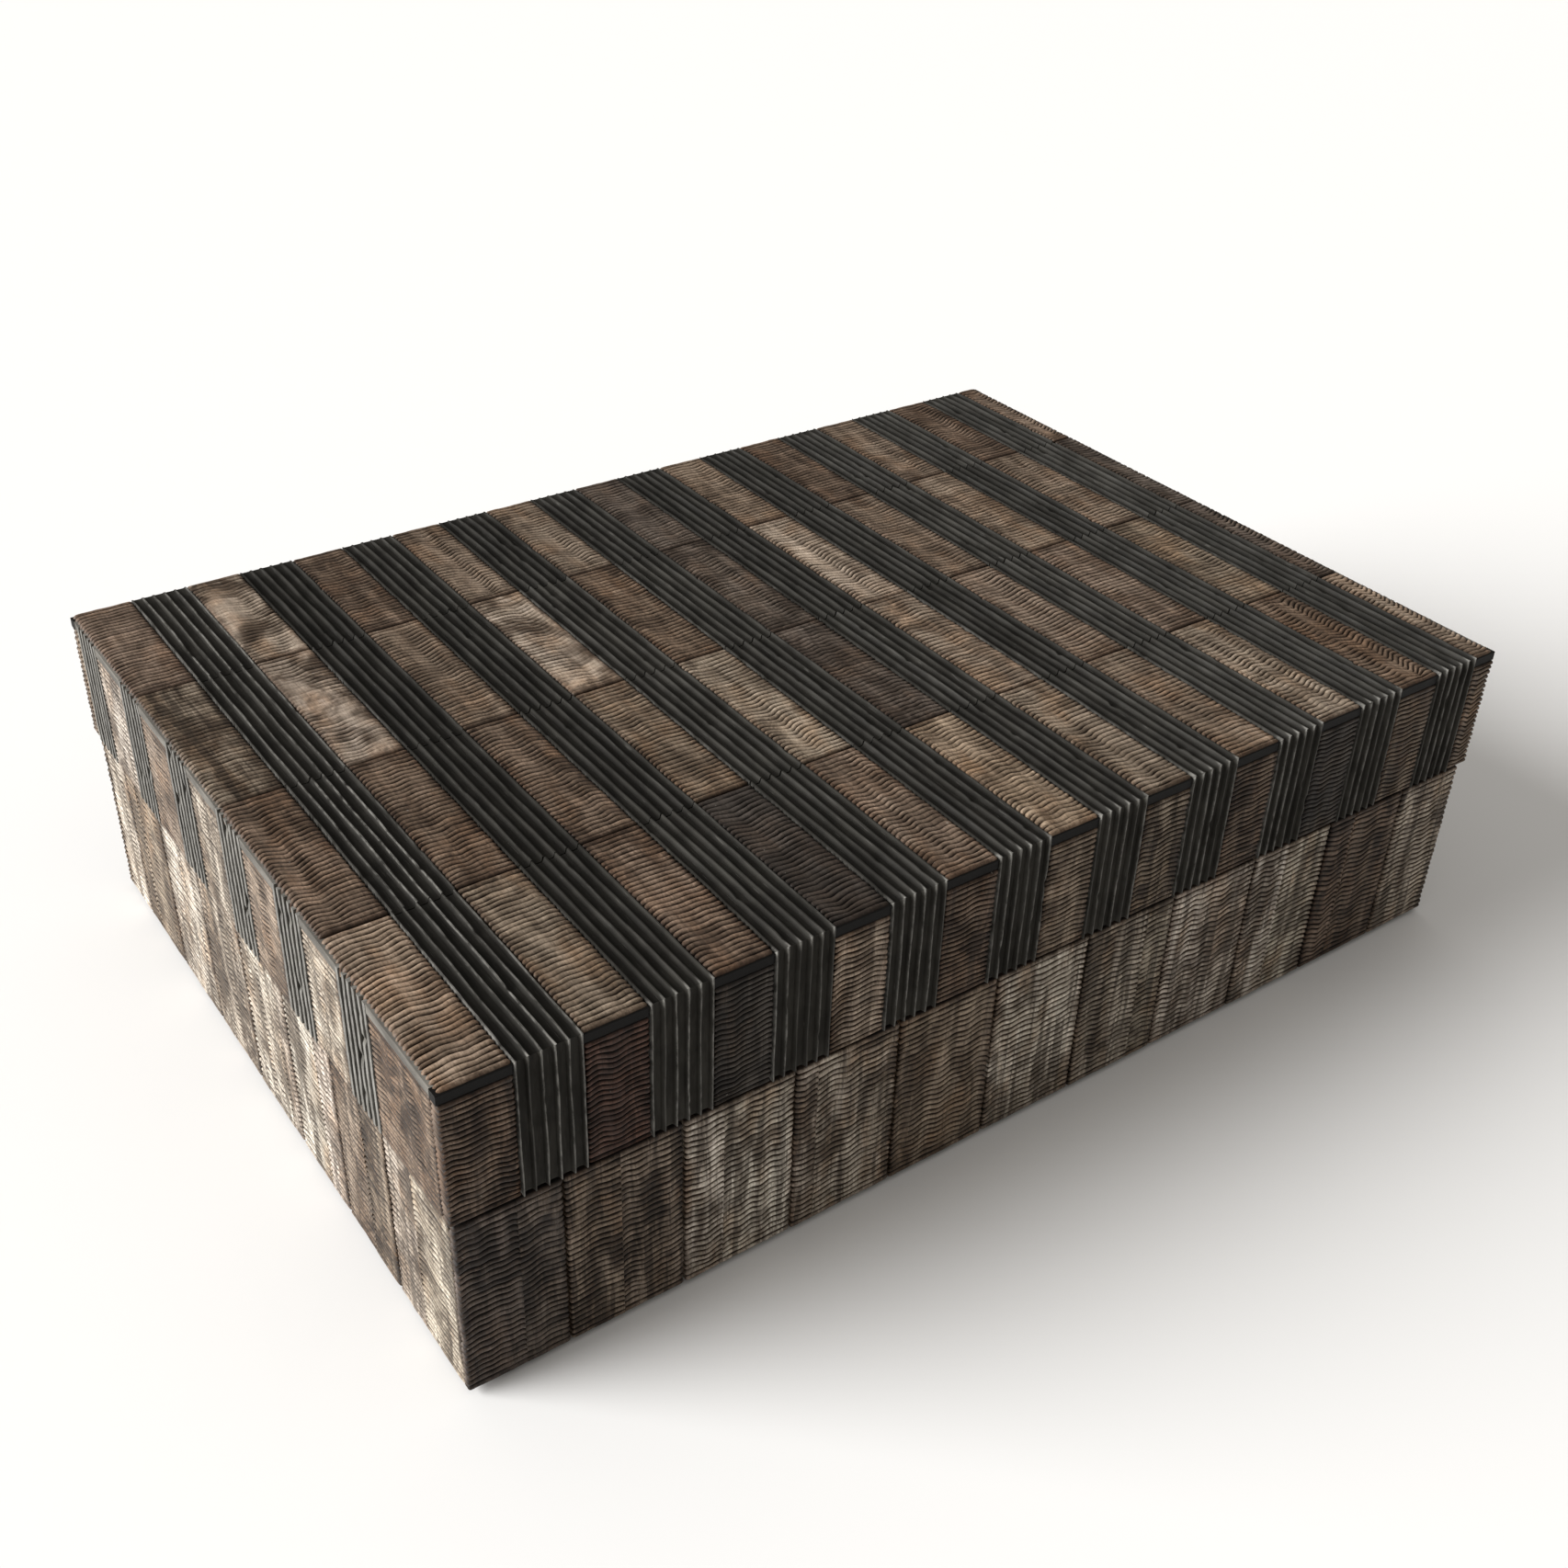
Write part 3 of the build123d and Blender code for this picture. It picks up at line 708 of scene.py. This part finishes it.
def horn_material():
    """Carved horn: each tile's own shade and marks, a painted highlight on the crests, painted shade in the
    grooves and a waxed sheen.
    """
    n = Nodes("horn")
    grain = n.attribute("grain", "Vector")
    traits = n.parts("traits", "Color")
    relief, rim, tint = n.parts("wear_and_light", "Vector")
    fibre = n.grained(grain, (4.5, 0.45, 1))
    fleck = n.grained(grain, (1.3, 2.3, 3.1), 0.7, detail=4.0)
    colour, bloom = horn_marks(n, grain, n.attribute("shade", "Color"), traits)
    for share, low, high in (
        (n.spread(fibre, 0.3, 0.7), (0.78, 0.77, 0.76, 1), (1.16, 1.16, 1.16, 1)),
        (n.spread(fleck, 0.32, 0.62), (0.76, 0.75, 0.73, 1), (1.10, 1.10, 1.10, 1)),
        (n.spread(tint, -1.6, 1.6), (0.80, 0.79, 0.78, 1), (1.24, 1.24, 1.24, 1)),
        # Crests lighter and slopes darker by the relief: painted light and shade on the ribs.
        (n.spread(relief, 0.5, 1.0), (0.85, 0.84, 0.82, 1), (1.28, 1.295, 1.32, 1)),
    ):
        colour = n.graded(colour, share, low, high)
    colour = horn_stains_and_shade(n, grain, colour, relief, rim, bloom, fleck)
    rough = n.sum("ADD", n.spread(fleck, 0.3, 0.7, -0.07, 0.08), n.spread(relief, 0.0, 0.9, 0.68, 0.50))
    rough = n.sum("SUBTRACT", rough, n.sum("MULTIPLY", traits[2], 0.08))
    height = n.sum("ADD", n.sum("MULTIPLY", fibre, 0.6), fleck)
    n.shader.inputs["Specular IOR Level"].default_value = 0.22
    return n.finish(Base_Color=colour, Roughness=rough, Normal=n.bump(height, 0.45, 0.00014))


def resin_material():
    """Black resin: valleys darkened to nearly black as painted shade, charcoal slopes, and fin tips
    lightened grey in broken lines, partly scuffs and partly a painted highlight.
    """
    n = Nodes("black_resin")
    grain = n.attribute("grain", "Vector")
    relief, tips = n.parts("wear_and_light", "Vector")[:2]
    cloud = n.grained(grain, (0.30, 0.07, 1))
    scuff = n.grained(grain, (1.4, 0.30, 1), 0.7, detail=4.0)
    scratch = n.grained(grain, (9.0, 0.16, 1), 0.5, detail=2.0)
    # Fin tips lightened grey in broken lines, and fine scratches: the tips partly scuffs, partly a painted
    # highlight.
    broken = n.sum("MULTIPLY", n.spread(tips, 0.10, 0.85), n.spread(scuff, 0.30, 0.68))
    lines = n.sum("MULTIPLY", n.spread(scratch, 0.66, 0.74), 0.12)
    worn = n.sum("MAXIMUM", n.sum("MULTIPLY", broken, 0.85), lines)
    colour = n.attribute("shade", "Color")
    colour = n.graded(colour, n.spread(cloud, 0.35, 0.7), (0.70, 0.69, 0.67, 1), (1.32, 1.31, 1.28, 1))
    # Valleys darker than the slopes: painted shade.
    colour = n.graded(colour, n.spread(relief, 0.05, 0.85), (0.66, 0.64, 0.60, 1), (1.06, 1.05, 1.02, 1))
    colour = n.mix("MIX", worn, colour, (0.230, 0.224, 0.208, 1))
    rough = n.sum("ADD", n.spread(scuff, 0.3, 0.7, -0.06, 0.08), n.spread(relief, 0.0, 0.8, 0.72, 0.54))
    height = n.sum("ADD", scratch, scuff)
    n.shader.inputs["Specular IOR Level"].default_value = 0.09
    return n.finish(Base_Color=colour, Roughness=rough, Normal=n.bump(height, 0.35, 0.00010))


def gap_material():
    """Matt black resin that fills the step under the rounded horn ends, darker than the other resin as
    painted shade in that recess.
    """
    n = Nodes("black_gap")
    n.shader.inputs["Base Color"].default_value = (0.0035, 0.0030, 0.0026, 1)
    n.shader.inputs["Roughness"].default_value = 0.55
    n.shader.inputs["Specular IOR Level"].default_value = 0.12
    return n.material


def wood_material(name, along):
    """Dark stained wood with its grain along X (0) or Y (1)."""
    n = Nodes(name)
    squeeze = (6.0, 90.0, 90.0) if along == 0 else (90.0, 6.0, 90.0)
    where = n.scaled(n.coords(), squeeze)
    rings = n.noise(where, 1.0, 4.0, 0.6, 0.8)
    pores = n.noise(n.scaled(n.coords(), tuple(9 * value for value in squeeze)), 1.0, 3.0, 0.6)
    colour = n.mix("MIX", n.spread(rings, 0.30, 0.70), (0.045, 0.024, 0.014, 1), (0.135, 0.074, 0.040, 1))
    colour = n.mix("MULTIPLY", n.spread(pores, 0.56, 0.68), colour, (0.45, 0.42, 0.40, 1))
    rough = n.spread(pores, 0.3, 0.7, 0.42, 0.60)
    height = n.sum("ADD", rings, n.sum("MULTIPLY", pores, 0.5))
    return n.finish(Base_Color=colour, Roughness=rough, Normal=n.bump(height, 0.30, 0.0002))


def felt_material():
    """Black felt: short tangled nap with a soft sheen."""
    n = Nodes("felt")
    nap = n.noise(n.coords(), 2600.0, 4.0, 0.75)
    tufts = n.noise(n.coords(), 420.0, 4.0, 0.6, 0.5)
    brushed = n.noise(n.coords(), 35.0, 3.0, 0.6)
    dark, light = (0.010, 0.010, 0.011, 1), (0.030, 0.030, 0.032, 1)
    colour = n.mix("MIX", n.spread(tufts, 0.3, 0.7), dark, light)
    colour = n.layered(colour, n.spread(nap, 0.55, 0.8), 0.6, (0.070, 0.070, 0.074, 1))
    colour = n.layered(colour, n.spread(brushed, 0.45, 0.7), 0.35, (0.035, 0.035, 0.038, 1))
    n.shader.inputs["Sheen Weight"].default_value = 0.55
    n.shader.inputs["Sheen Roughness"].default_value = 0.5
    n.shader.inputs["Specular IOR Level"].default_value = 0.2
    rough = n.spread(nap, 0.3, 0.7, 0.85, 1.0)
    height = n.sum("ADD", nap, tufts)
    return n.finish(Base_Color=colour, Roughness=rough, Normal=n.bump(height, 0.6, 0.0003))


def brass_material():
    """Satin brass with faint brushing and tarnish."""
    n = Nodes("brass")
    tarnish = n.noise(n.coords(), 260.0, 4.0, 0.65, 0.6)
    brush = n.noise(n.scaled(n.coords(), (300.0, 6000.0, 6000.0)), 1.0, 2.0, 0.5)
    colour = n.mix("MIX", n.spread(tarnish, 0.35, 0.7), (0.66, 0.44, 0.18, 1), (0.46, 0.29, 0.12, 1))
    rough = n.sum("ADD", n.spread(tarnish, 0.3, 0.7, 0.24, 0.42), n.spread(brush, 0.3, 0.7, -0.04, 0.06))
    n.shader.inputs["Metallic"].default_value = 1.0
    return n.finish(Base_Color=colour, Roughness=rough, Normal=n.bump(brush, 0.15, 0.00005))


def floor_material():
    """Plain matt white studio floor."""
    n = Nodes("studio_floor")
    n.shader.inputs["Base Color"].default_value = (0.80, 0.80, 0.80, 1)
    n.shader.inputs["Roughness"].default_value = 0.85
    n.shader.inputs["Specular IOR Level"].default_value = 0.2
    return n.material


HORN = horn_material()
RESIN = resin_material()
GAP = gap_material()
WOOD = {0: wood_material("wood_along_x", 0), 1: wood_material("wood_along_y", 1)}
FELT = felt_material()
BRASS = brass_material()


# ---- Layout ----
def numbered(kind, number):
    """Name of one of the top's bands."""
    return f"lid_top_{kind}_band_{number:02d}"


LONG_BANDS = [tuple(c[0] for c in corners(numbered("resin", k + 1))) for k in range(BANDS)]
END_BAND_STARTS = [-HALF_WIDTH + END_FIRST_BAND + k * END_BAND_PITCH for k in range(END_BANDS)]
END_BAND_PLACES = [(start, start + END_BAND_WIDTH) for start in END_BAND_STARTS]


def between(bands, low, high):
    """Horn stretches between the resin bands, less the glue lines."""
    edges = [low]
    for first, last in bands:
        edges += [first - GLUE_GAP, last + GLUE_GAP]
    edges.append(high)
    return list(zip(edges[0::2], edges[1::2]))


def mirrored(side, span):
    """A stretch along +X or +Y as the side's own across direction counts it."""
    return (-span[1], -span[0]) if side in ("back", "left") else span


def top_rows():
    """Front and back edge of each row of tiles on the lid, out to the edges."""
    rows = []
    edge = -HALF_WIDTH
    for length in TOP_TILE_LENGTHS:
        rows.append((edge + ROW_JOINT / 2, edge + length - ROW_JOINT / 2))
        edge += length
    rows[0] = (-HALF_WIDTH, rows[0][1])
    rows[-1] = (rows[-1][0], HALF_WIDTH)
    return rows


def make_horn_band(number, span):
    """One of the top's horn bands."""
    slab = Slab()
    for row, (low, high) in enumerate(top_rows()):
        rng = np.random.default_rng((SEED, 1, number, row))
        rise = (max(low, -HALF_WIDTH + LIP_INSET), min(high, HALF_WIDTH - LIP_INSET))
        outer = (number == 0, number == BANDS, row == 0, 0)
        plate = LID_PLATE - rng.uniform(0.0, TILE_SPREAD)
        horn_tile(slab, rng, "top", span, rise, plate, TOP_RIB, TOP_ROWS[row][number], outer=outer)
    node = numbered("horn", number + 1)
    slab.build("carved_" + node, node, "horn", "lid", HORN)


def make_resin_band(number, span):
    """One of the top's resin bands.  The leftmost has the most lightened fin tips: partly wear, partly a
    painted highlight.
    """
    slab = Slab()
    rub_and_glint = FIRST_RUB_AND_GLINT if number == 0 else TOP_RUB_AND_GLINT
    for row, (low, high) in enumerate(top_rows()):
        rng = np.random.default_rng((SEED, 2, number, row))
        mitres = (row == 0, BACK_MITRE * (row == len(TOP_TILE_LENGTHS) - 1))
        rise = (-CASE_Y if mitres[0] else low, CASE_Y if mitres[1] else high)
        slip = rng.normal(0, 0.05)
        slipped = (span[0] + slip, span[1] + slip)
        fin_tile(slab, rng, "top", slipped, rise, mitres, FIN_TIP, FIN_DEPTH, TOP_GREY, rub_and_glint)
    node = numbered("resin", number + 1)
    slab.build("fins_" + node, node, "black_resin", "lid", RESIN)


def make_lid_top():
    """The lid's horn and resin bands, front to back."""
    for number, span in enumerate(between(LONG_BANDS, -HALF_LENGTH + END_INSET, HALF_LENGTH - END_INSET)):
        make_horn_band(number, span)
    for number, span in enumerate(LONG_BANDS):
        make_resin_band(number, span)


def make_side_horn(place_number, side, bands, reach, strips):
    """Horn tiles of one side of the lid, and the edge strip above each."""
    shades = {"front": LID_FRONT, "back": LID_BACK, "left": LID_LEFT, "right": LID_RIGHT}[side]
    horn = Slab()
    for number, span in enumerate(between(bands, -reach, reach)):
        rng = np.random.default_rng((SEED, 3, place_number, number))
        rise = (LID_BOTTOM + FREE_END, TOP_FACE - LIP_LAP)
        span = mirrored(side, span)
        horn_tile(horn, rng, side, span, rise, LID_PLATE, LID_SIDE_RIB, shades[number])
        strip_rise = (TOP_FACE - LIP_LAP, HEIGHT - NOSE)
        # The edge strip is near-black gap resin at the front and back and grey resin on the ends: painted
        # shade and painted light on the one strip.
        if side in ("front", "back"):
            plain_strip(strips, rng, side, span, strip_rise, LIP_STRIP, LIP_GREY, 1)
        else:
            wider = (span[0] - GLUE_GAP, span[1] + GLUE_GAP)
            plain_strip(strips, rng, side, wider, strip_rise, END_STRIP, END_STRIP_GREY, 0)
    node = f"lid_{side}_horn"
    horn.build("carved_" + node, node, "horn", "lid", HORN)


def make_side_resin(place_number, side, bands):
    """Finned resin bands of one side of the lid."""
    resin = Slab()
    for number, span in enumerate(bands):
        rng = np.random.default_rng((SEED, 4, place_number, number))
        span = mirrored(side, span)
        if side in ("front", "back"):
            mitres = (0, 1 if side == "front" else BACK_MITRE)
            rise = (LID_BOTTOM + FOOT_END, TOP_FACE)
            fin_tile(resin, rng, side, span, rise, mitres, FIN_TIP, FIN_DEPTH, SIDE_GREY, SIDE_RUB_AND_GLINT)
        else:
            rise = (LID_BOTTOM + FOOT_END, HEIGHT - NOSE)
            fin_tile(resin, rng, side, span, rise, (0, 0), END_FIN_TIP, END_FIN_DEPTH, END_GREY, END_RUB_AND_GLINT)
    node = f"lid_{side}_resin"
    resin.build("fins_" + node, node, "black_resin", "lid", RESIN)


def make_lid_sides():
    """Horn tiles, finned bands and edge strips round the lid."""
    strips = Slab()
    for place_number, side in enumerate(("front", "back", "left", "right")):
        long_side = side in ("front", "back")
        bands = LONG_BANDS if long_side else END_BAND_PLACES
        reach = HALF_LENGTH if long_side else CASE_Y - GLUE_GAP
        make_side_horn(place_number, side, bands, reach, strips)
        make_side_resin(place_number, side, bands)
    strips.build("edge_strips", "lid_edge_resin", "black_resin", "lid", RESIN, GAP)


def base_tiles(side):
    """Low and high edge of each tile along one side of the base, and where a tight seam splits it."""
    if side in ("front", "back"):
        start, end, first, pitch = -BASE_HALF, BASE_HALF, BASE_FIRST_TILE, BASE_TILE
    else:
        start, end, first, pitch = -CASE_Y + GLUE_GAP, CASE_Y - GLUE_GAP, END_FIRST_TILE, END_TILE
    seams = [start]
    while seams[-1] + pitch * LAST_TILE_SHARE < end:
        seams.append(seams[-1] + (pitch if len(seams) > 1 else first))
    seams.append(end)
    tiles = []
    for number, (low, high) in enumerate(zip(seams[:-1], seams[1:])):
        low += TILE_JOINT / 2 if low > start else 0
        high -= TILE_JOINT / 2 if high < end else 0
        tiles.append((low, high, BASE_SPLITS[number % len(BASE_SPLITS)]))
    return tiles


def make_base_sides():
    """Horn tiles round the base; some are two narrower strips butted tight together."""
    shades = {"front": BASE_FRONT, "back": BASE_BACK, "left": BASE_LEFT, "right": BASE_RIGHT}
    for place_number, side in enumerate(shades):
        horn = Slab()
        for number, (low, high, split) in enumerate(base_tiles(side)):
            seam = low + split * (high - low)
            parts = [(low, high)] if split == 0 else [(low, seam), (seam, high)]
            for part, span in enumerate(parts):
                rng = np.random.default_rng((SEED, 5, place_number, number, part))
                rise = (BASE_BOTTOM + FOOT_END, BASE_TOP - FREE_END)
                code = shades[side][number]
                tight = (part == 1, split > 0 and part == 0)
                tight = tight[::-1] if side in ("back", "left") else tight
                plate = BASE_PLATE - BASE_RELIEF
                horn_tile(horn, rng, side, mirrored(side, span), rise, plate, BASE_RIB, code, tight)
        node = f"base_horn_{side}"
        horn.build("carved_" + node, node, "horn", "base", HORN)


def felt_places(size):
    """Places of a felt sheet's points along one of its sides: close together at the edges, even between."""
    edge = np.array([0.0, 0.15, 0.5])
    inset = 0.1
    length = size - 2 * inset
    inner = np.linspace(1.2, length - 1.2, max(6, int(size / FELT_STEP)))
    return np.concatenate([edge, inner, length - edge[::-1]]) + inset


def felt_slab(low, high, visible_low):
    """Points and faces of one felt sheet filling a box: softly uneven, with rounded edges."""
    size = high - low
    thin = int(np.argmin(size))
    wide = [axis for axis in range(3) if axis != thin]
    rng = np.random.default_rng((SEED, 6, int(abs(low.sum()) * 10)))
    a, b = np.meshgrid(felt_places(size[wide[0]]), felt_places(size[wide[1]]), indexing="ij")
    puff = waves(rng, (37.0, 61.0, 23.0), (0.05, 0.06, 0.03), 0.03)(a, b)
    border = np.minimum(np.minimum(a, size[wide[0]] - a), np.minimum(b, size[wide[1]] - b))
    thick = size[thin] - 0.18 + puff - rounded(border, *FELT_ROUND)
    verts = []
    for depth in (np.full_like(a, FELT_SKIN), np.clip(thick, 0.1, size[thin] - FELT_SKIN)):
        points = np.zeros(a.shape + (3,))
        points[..., wide[0]] = low[wide[0]] + a
        points[..., wide[1]] = low[wide[1]] + b
        points[..., thin] = high[thin] - depth if visible_low else low[thin] + depth
        verts.append(points.reshape(-1, 3))
    grid = np.arange(a.size).reshape(a.shape)
    face, rim = grid_faces(grid), outline(grid)
    wall = np.stack([rim, np.roll(rim, -1), np.roll(rim, -1) + a.size, rim + a.size], axis=-1)
    return np.concatenate(verts), np.concatenate([face[:, ::-1], face + a.size, wall])


def felt_sheet(node, boxes, body):
    """A felt lining made of one or more flat runs, built as one mesh."""
    verts, faces, count = [], [], 0
    for low, high, visible_low in boxes:
        points, cells = felt_slab(low, high, visible_low)
        verts.append(points)
        faces.append(cells + count)
        count += len(points)
    mesh = bpy.data.meshes.new("felt_" + node)
    mesh.from_pydata((np.concatenate(verts) * MM).tolist(), [], np.concatenate(faces).tolist())
    mesh.update()
    tidy_normals(mesh)
    piece = place("felt_" + node, mesh, node, "felt", body, FELT)


def tidy_normals(mesh):
    """Faces outwards and smooth, with hard edges kept."""
    work = bmesh.new()
    work.from_mesh(mesh)
    bmesh.ops.recalc_face_normals(work, faces=work.faces)
    work.to_mesh(mesh)
    work.free()
    smooth(mesh, 60)
    mesh.update()


def ring_boxes(low, high, thick):
    """The four runs of a wall lining: low and high corner, and whether the low face is the visible one."""
    left, front, bottom = low
    right, back, top = high
    return [
        (np.array((left, front, bottom)), np.array((right, front + thick, top)), False),
        (np.array((left, back - thick, bottom)), np.array((right, back, top)), True),
        (np.array((left, front + thick, bottom)), np.array((left + thick, back - thick, top)), False),
        (np.array((right - thick, front + thick, bottom)), np.array((right, back - thick, top)), True),
    ]


def make_felt():
    """Linings and the pad under the box."""
    low, high = corners("underside_felt")
    felt_sheet("underside_felt", [(low, high, False)], "base")
    low, high = corners("base_lining_floor")
    thick = high[2] - low[2]
    felt_sheet("base_lining_floor", [(low, high, False)], "base")
    for side, far in (("front", False), ("back", True), ("left", False), ("right", True)):
        node = f"base_lining_{side}"
        low, high = corners(node)
        felt_sheet(node, [(low, high, far)], "base")
    low, high = corners("lid_lining_ceiling")
    felt_sheet("lid_lining_ceiling", [(low, high, True)], "lid")
    boxes = ring_boxes(*corners("lid_lining_walls"), thick)
    felt_sheet("lid_lining_walls", boxes, "lid")


def dress_cad_nodes():
    """Materials and softened edges for the wood and brass, whose CAD shapes stay."""
    for name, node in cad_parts.items():
        if name.endswith(("_wall", "_panel")):
            along = 1 if name.endswith(("left_wall", "right_wall")) else 0
            dress(node, WOOD[along], 0.35)
        elif name.startswith("hinge_") or "screws" in name:
            dress(node, BRASS, 0.12)


def dress(node, material, bevel):
    """One material on the whole node and a small bevel on its sharp edges."""
    node.data.materials.clear()
    node.data.materials.append(material)
    soften = node.modifiers.new("soft_edges", "BEVEL")
    soften.width = bevel * MM
    soften.segments = 2
    soften.limit_method = "ANGLE"
    soften.angle_limit = math.radians(40)


# ---- Studio ----
def add_sun(name, energy, degrees, colour, turn):
    """A sun lamp, this many degrees wide."""
    data = bpy.data.lights.new(name, "SUN")
    data.energy = energy
    data.angle = math.radians(degrees)
    data.color = colour
    lamp = bpy.data.objects.new(name, data)
    scene.collection.objects.link(lamp)
    lamp.rotation_euler = turn


def make_studio():
    """White floor, one big soft light from the left, a weak one from above and a dim warm fill."""
    half, level = 25.0, -0.0003
    ends = [(-half, -half, level), (half, -half, level), (half, half, level), (-half, half, level)]
    floor_mesh = bpy.data.meshes.new("floor")
    floor_mesh.from_pydata(ends, [], [(0, 1, 2, 3)])
    floor = bpy.data.objects.new("floor", floor_mesh)
    scene.collection.objects.link(floor)
    floor_mesh.materials.append(floor_material())
    from_left = Vector((0.86, -0.36, -0.41)).to_track_quat("-Z", "Y").to_euler()
    add_sun("window", 6.5, 40, (1.0, 0.993, 0.982), from_left)
    add_sun("overhead", 0.75, 110, (1.0, 0.99, 0.97), (0.0, 0.0, 0.0))
    scene.world = studio_world()
    scene.view_settings.view_transform = "Standard"


def studio_world():
    """Dim warm fill from all round, seen as a plain white background."""
    world = bpy.data.worlds.new("studio")
    world.use_nodes = True
    tree = world.node_tree
    fill = tree.nodes["Background"]
    fill.inputs["Color"].default_value = (1.0, 0.930, 0.835, 1)
    fill.inputs["Strength"].default_value = 0.22
    white = tree.nodes.new("ShaderNodeBackground")
    white.inputs["Color"].default_value = (1.0, 1.0, 0.985, 1)
    seen = tree.nodes.new("ShaderNodeLightPath")
    both = tree.nodes.new("ShaderNodeMixShader")
    tree.links.new(seen.outputs["Is Camera Ray"], both.inputs[0])
    tree.links.new(fill.outputs[0], both.inputs[1])
    tree.links.new(white.outputs[0], both.inputs[2])
    tree.links.new(both.outputs[0], tree.nodes["World Output"].inputs["Surface"])
    return world


def make_camera():
    """Camera to the front left of the box, looking down on it."""
    eye = Vector((-0.2454, -0.3371, 0.3179))
    azimuth = math.radians(36.1)
    down = math.radians(33.8)
    roll = math.radians(2.0)
    look = Vector((math.sin(azimuth) * math.cos(down), math.cos(azimuth) * math.cos(down), -math.sin(down)))
    data = bpy.data.cameras.new("camera")
    data.lens = 41.93
    data.sensor_width = 36.0
    data.clip_start = 0.01
    camera = bpy.data.objects.new("camera", data)
    scene.collection.objects.link(camera)
    turn = look.to_track_quat("-Z", "Y").to_matrix().to_4x4() @ Matrix.Rotation(roll, 4, "Z")
    camera.matrix_world = Matrix.Translation(eye) @ turn
    scene.camera = camera


make_camera()
make_studio()
make_lid_top()
make_lid_sides()
make_base_sides()
make_felt()
dress_cad_nodes()
